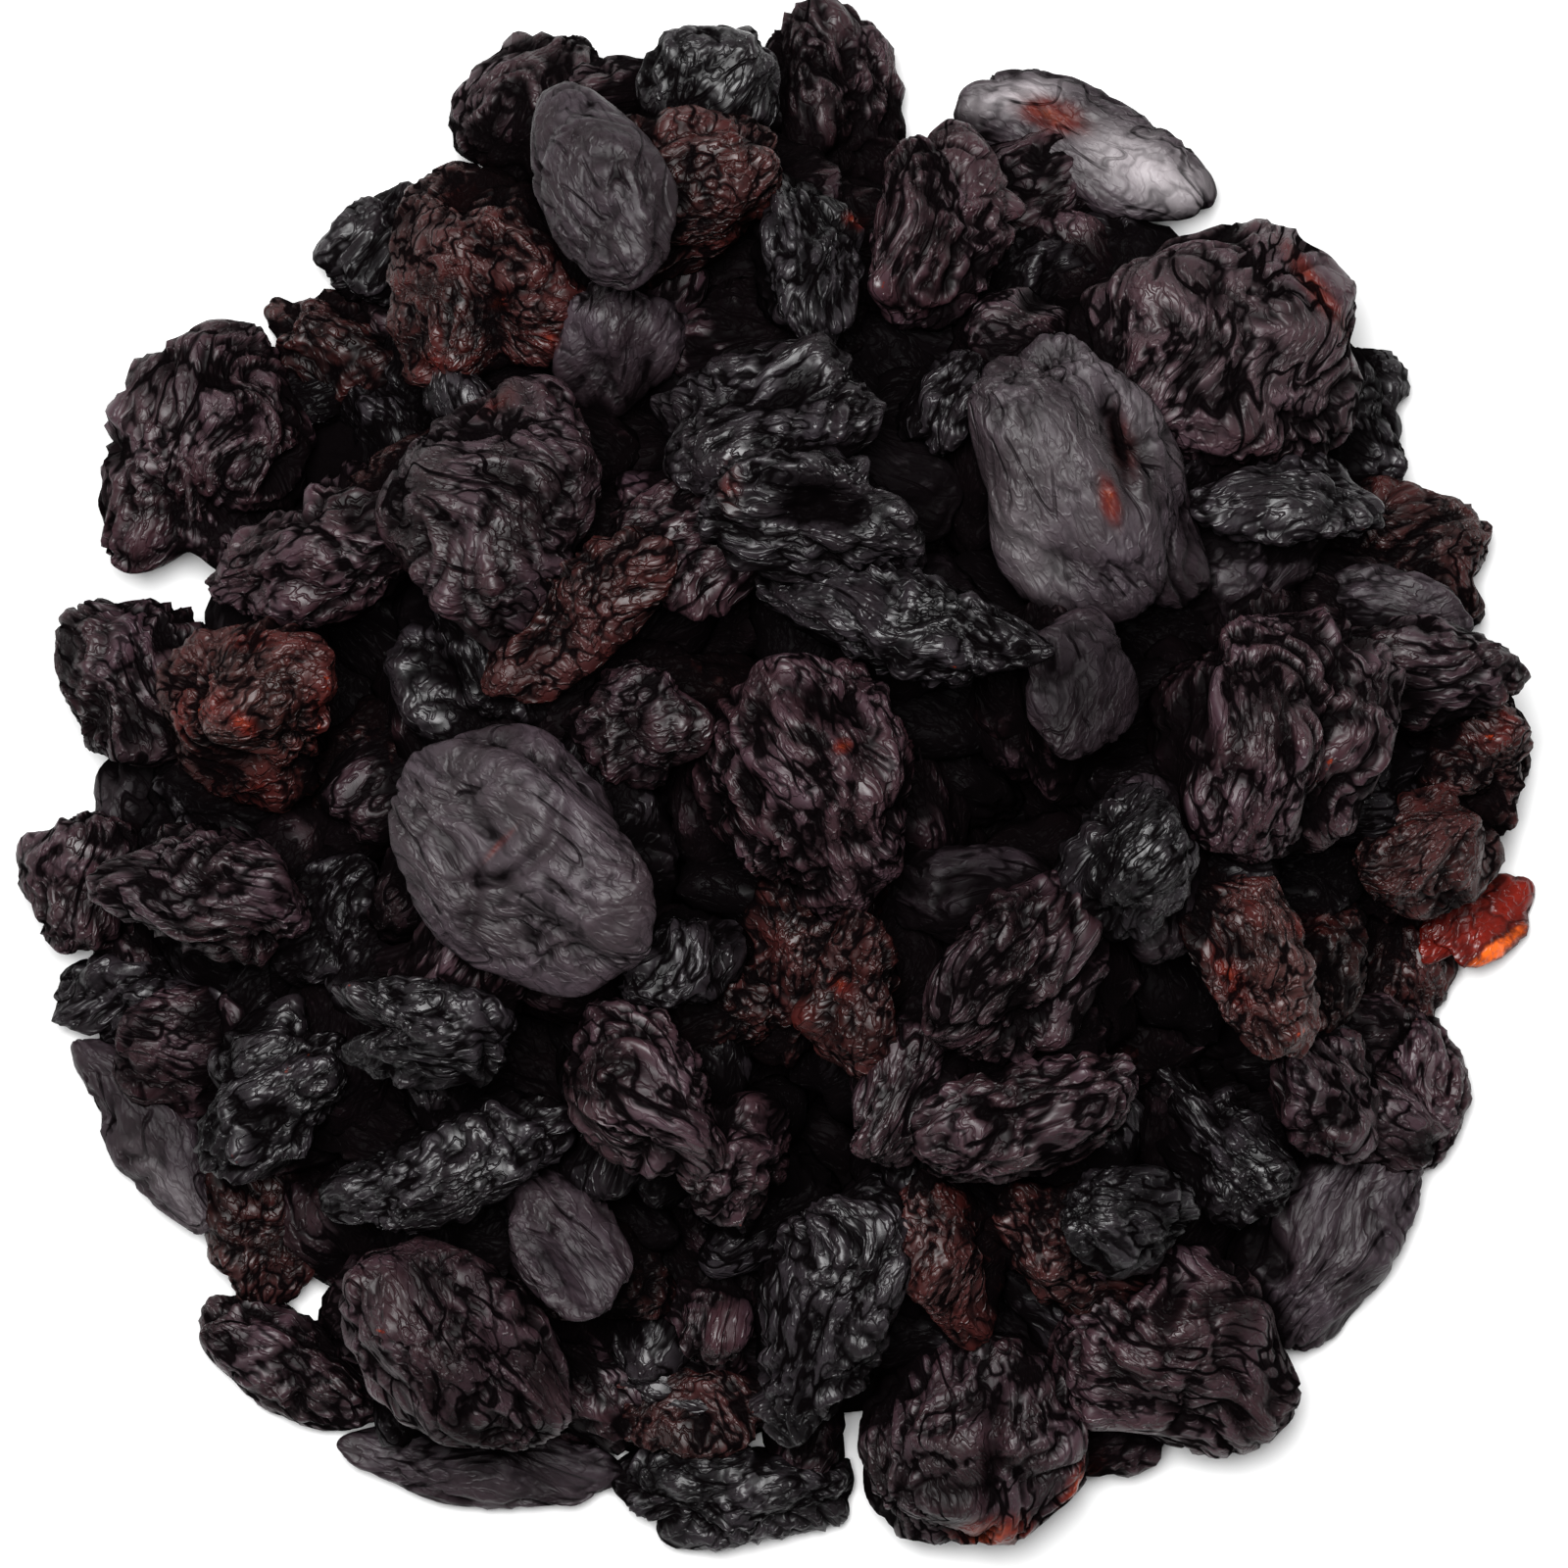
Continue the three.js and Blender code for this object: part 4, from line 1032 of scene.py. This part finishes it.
# %% The finishes, kind by kind
# Each kind's colours are deep (in creases, partly painted shade), ridge, bloom, red spot and pale painted
# highlight
PLUM = ((0.007, 0.002, 0.003), (0.036, 0.014, 0.018), (0.052, 0.030, 0.041),
        (0.22, 0.026, 0.007), (0.12, 0.09, 0.10))
BLACK = ((0.002, 0.0015, 0.002), (0.012, 0.008, 0.010), (0.028, 0.023, 0.028),
         (0.22, 0.03, 0.008), (0.10, 0.09, 0.10))
SMOOTH = ((0.010, 0.005, 0.007), (0.030, 0.018, 0.023), (0.052, 0.037, 0.049),
          (0.24, 0.04, 0.010), (0.55, 0.50, 0.52))
RUSSET = ((0.006, 0.001, 0.001), (0.046, 0.007, 0.006), (0.038, 0.014, 0.015),
          (0.30, 0.032, 0.008), (0.12, 0.06, 0.05))
AMBER = ((0.06, 0.003, 0.002), (0.32, 0.016, 0.005), (0.20, 0.010, 0.004),
         (0.90, 0.14, 0.012), (0.9, 0.3, 0.1))
SHADED = ((0.001, 0.001, 0.001), (0.004, 0.002, 0.003), *[(0.004, 0.003, 0.003)] * 3)
CORE_MIRROR = 0.15
# After the colours: gloss as roughness, then folds, wrinkles and cracks in mm, grain, share of spots, and
# how strong the painted shade in the creases is
FINISHES = {
    "plum": skin_finish("plum_skin", PLUM, 0.40, 0.085, 0.08, 0.25, 0.50, 0.06, 1.0),
    "broad": skin_finish("broad_skin", PLUM, 0.42, 0.07, 0.07, 0.30, 0.50, 0.06, 0.9),
    "black": skin_finish("black_skin", BLACK, 0.34, 0.09, 0.06, 0.15, 0.50, 0.04, 1.0),
    "smooth": skin_finish("smooth_skin", SMOOTH, 0.46, 0.05, 0.03, 0.14, 0.50, 0.02, 0.45),
    "russet": skin_finish("russet_skin", RUSSET, 0.38, 0.12, 0.09, 0.12, 0.80, 0.10, 1.0),
    "amber": skin_finish("amber_flesh", AMBER, 0.24, 0.06, 0.04, 0.0, 0.60, 0.15, 0.5),
}
core_finish = skin_finish("shaded_core", SHADED, 0.60, 0.06, 0.04, 0.1, 1.0, 0.0, 1.0)
core_finish.shader.inputs["Specular IOR Level"].default_value = CORE_MIRROR
for piece in pieces:
    kind = piece.name.split("_")[1]
    piece.data.materials.append(FINISHES.get(kind, core_finish).material)
print("finishes:", len(FINISHES) + 1)

# %% [markdown]
# ## Floor, light and camera
#
# The heap lies on a plain pale surface that is bright enough to burn out to white. The light is soft and
# comes from above, as from a large panel, with white surroundings that brighten the outer sides of the rim.
# The camera looks straight down through a long lens, with the heap filling the frame.

# %% The floor
FLOOR_REACH, FLOOR_GREY, FLOOR_ROUGHNESS = 3.0, (0.9, 0.9, 0.9, 1), 0.8
floor_mesh = bpy.data.meshes.new("floor")
corners = [(x * FLOOR_REACH, y * FLOOR_REACH, 0) for x, y in [(-1, -1), (1, -1), (1, 1), (-1, 1)]]
floor_mesh.from_pydata(corners, [], [(0, 1, 2, 3)])
floor = bpy.data.objects.new("floor", floor_mesh)
bpy.context.scene.collection.objects.link(floor)
floor_finish = Finish("floor_white")
floor_finish.shader.inputs["Base Color"].default_value = FLOOR_GREY
floor_finish.shader.inputs["Roughness"].default_value = FLOOR_ROUGHNESS
floor_mesh.materials.append(floor_finish.material)
print("floor:", 2 * FLOOR_REACH, "m across")

# %% The light
WORLD_STRENGTH = 0.10
PANEL_PLACE, PANEL_SIZE, PANEL_POWER = (-0.10, 0.20, 1.0), 0.6, 20.0
lamp = bpy.data.lights.new("panel_above", "AREA")
lamp.size = PANEL_SIZE
lamp.energy = PANEL_POWER
panel = bpy.data.objects.new("panel_above", lamp)
panel.location = PANEL_PLACE
panel.rotation_euler = (-Vector(PANEL_PLACE)).to_track_quat("-Z", "Y").to_euler()
bpy.context.scene.collection.objects.link(panel)
world = bpy.data.worlds.new("studio")
world.use_nodes = True
world.node_tree.nodes["Background"].inputs["Color"].default_value = (1, 1, 1, 1)
world.node_tree.nodes["Background"].inputs["Strength"].default_value = WORLD_STRENGTH
bpy.context.scene.world = world
bpy.context.scene.view_settings.view_transform = "Standard"
print("light:", PANEL_POWER, "W from a panel", PANEL_SIZE, "m wide")

# %% The camera
# The view is this wide at this height over the floor, with the camera this far above that
VIEW_WIDTH, VIEW_HEIGHT, CAMERA_ABOVE = 0.100, 0.016, 0.8
SENSOR = 36.0
eye = bpy.data.cameras.new("camera")
eye.sensor_width = SENSOR
eye.lens = SENSOR * CAMERA_ABOVE / VIEW_WIDTH
camera = bpy.data.objects.new("camera", eye)
camera.location = (0, 0, VIEW_HEIGHT + CAMERA_ABOVE)
bpy.context.scene.collection.objects.link(camera)
bpy.context.scene.camera = camera
print("lens:", round(eye.lens), "mm")

# %% [markdown]
# ## The end
#
# The dressed heap has to stay inside the packed solid's box.
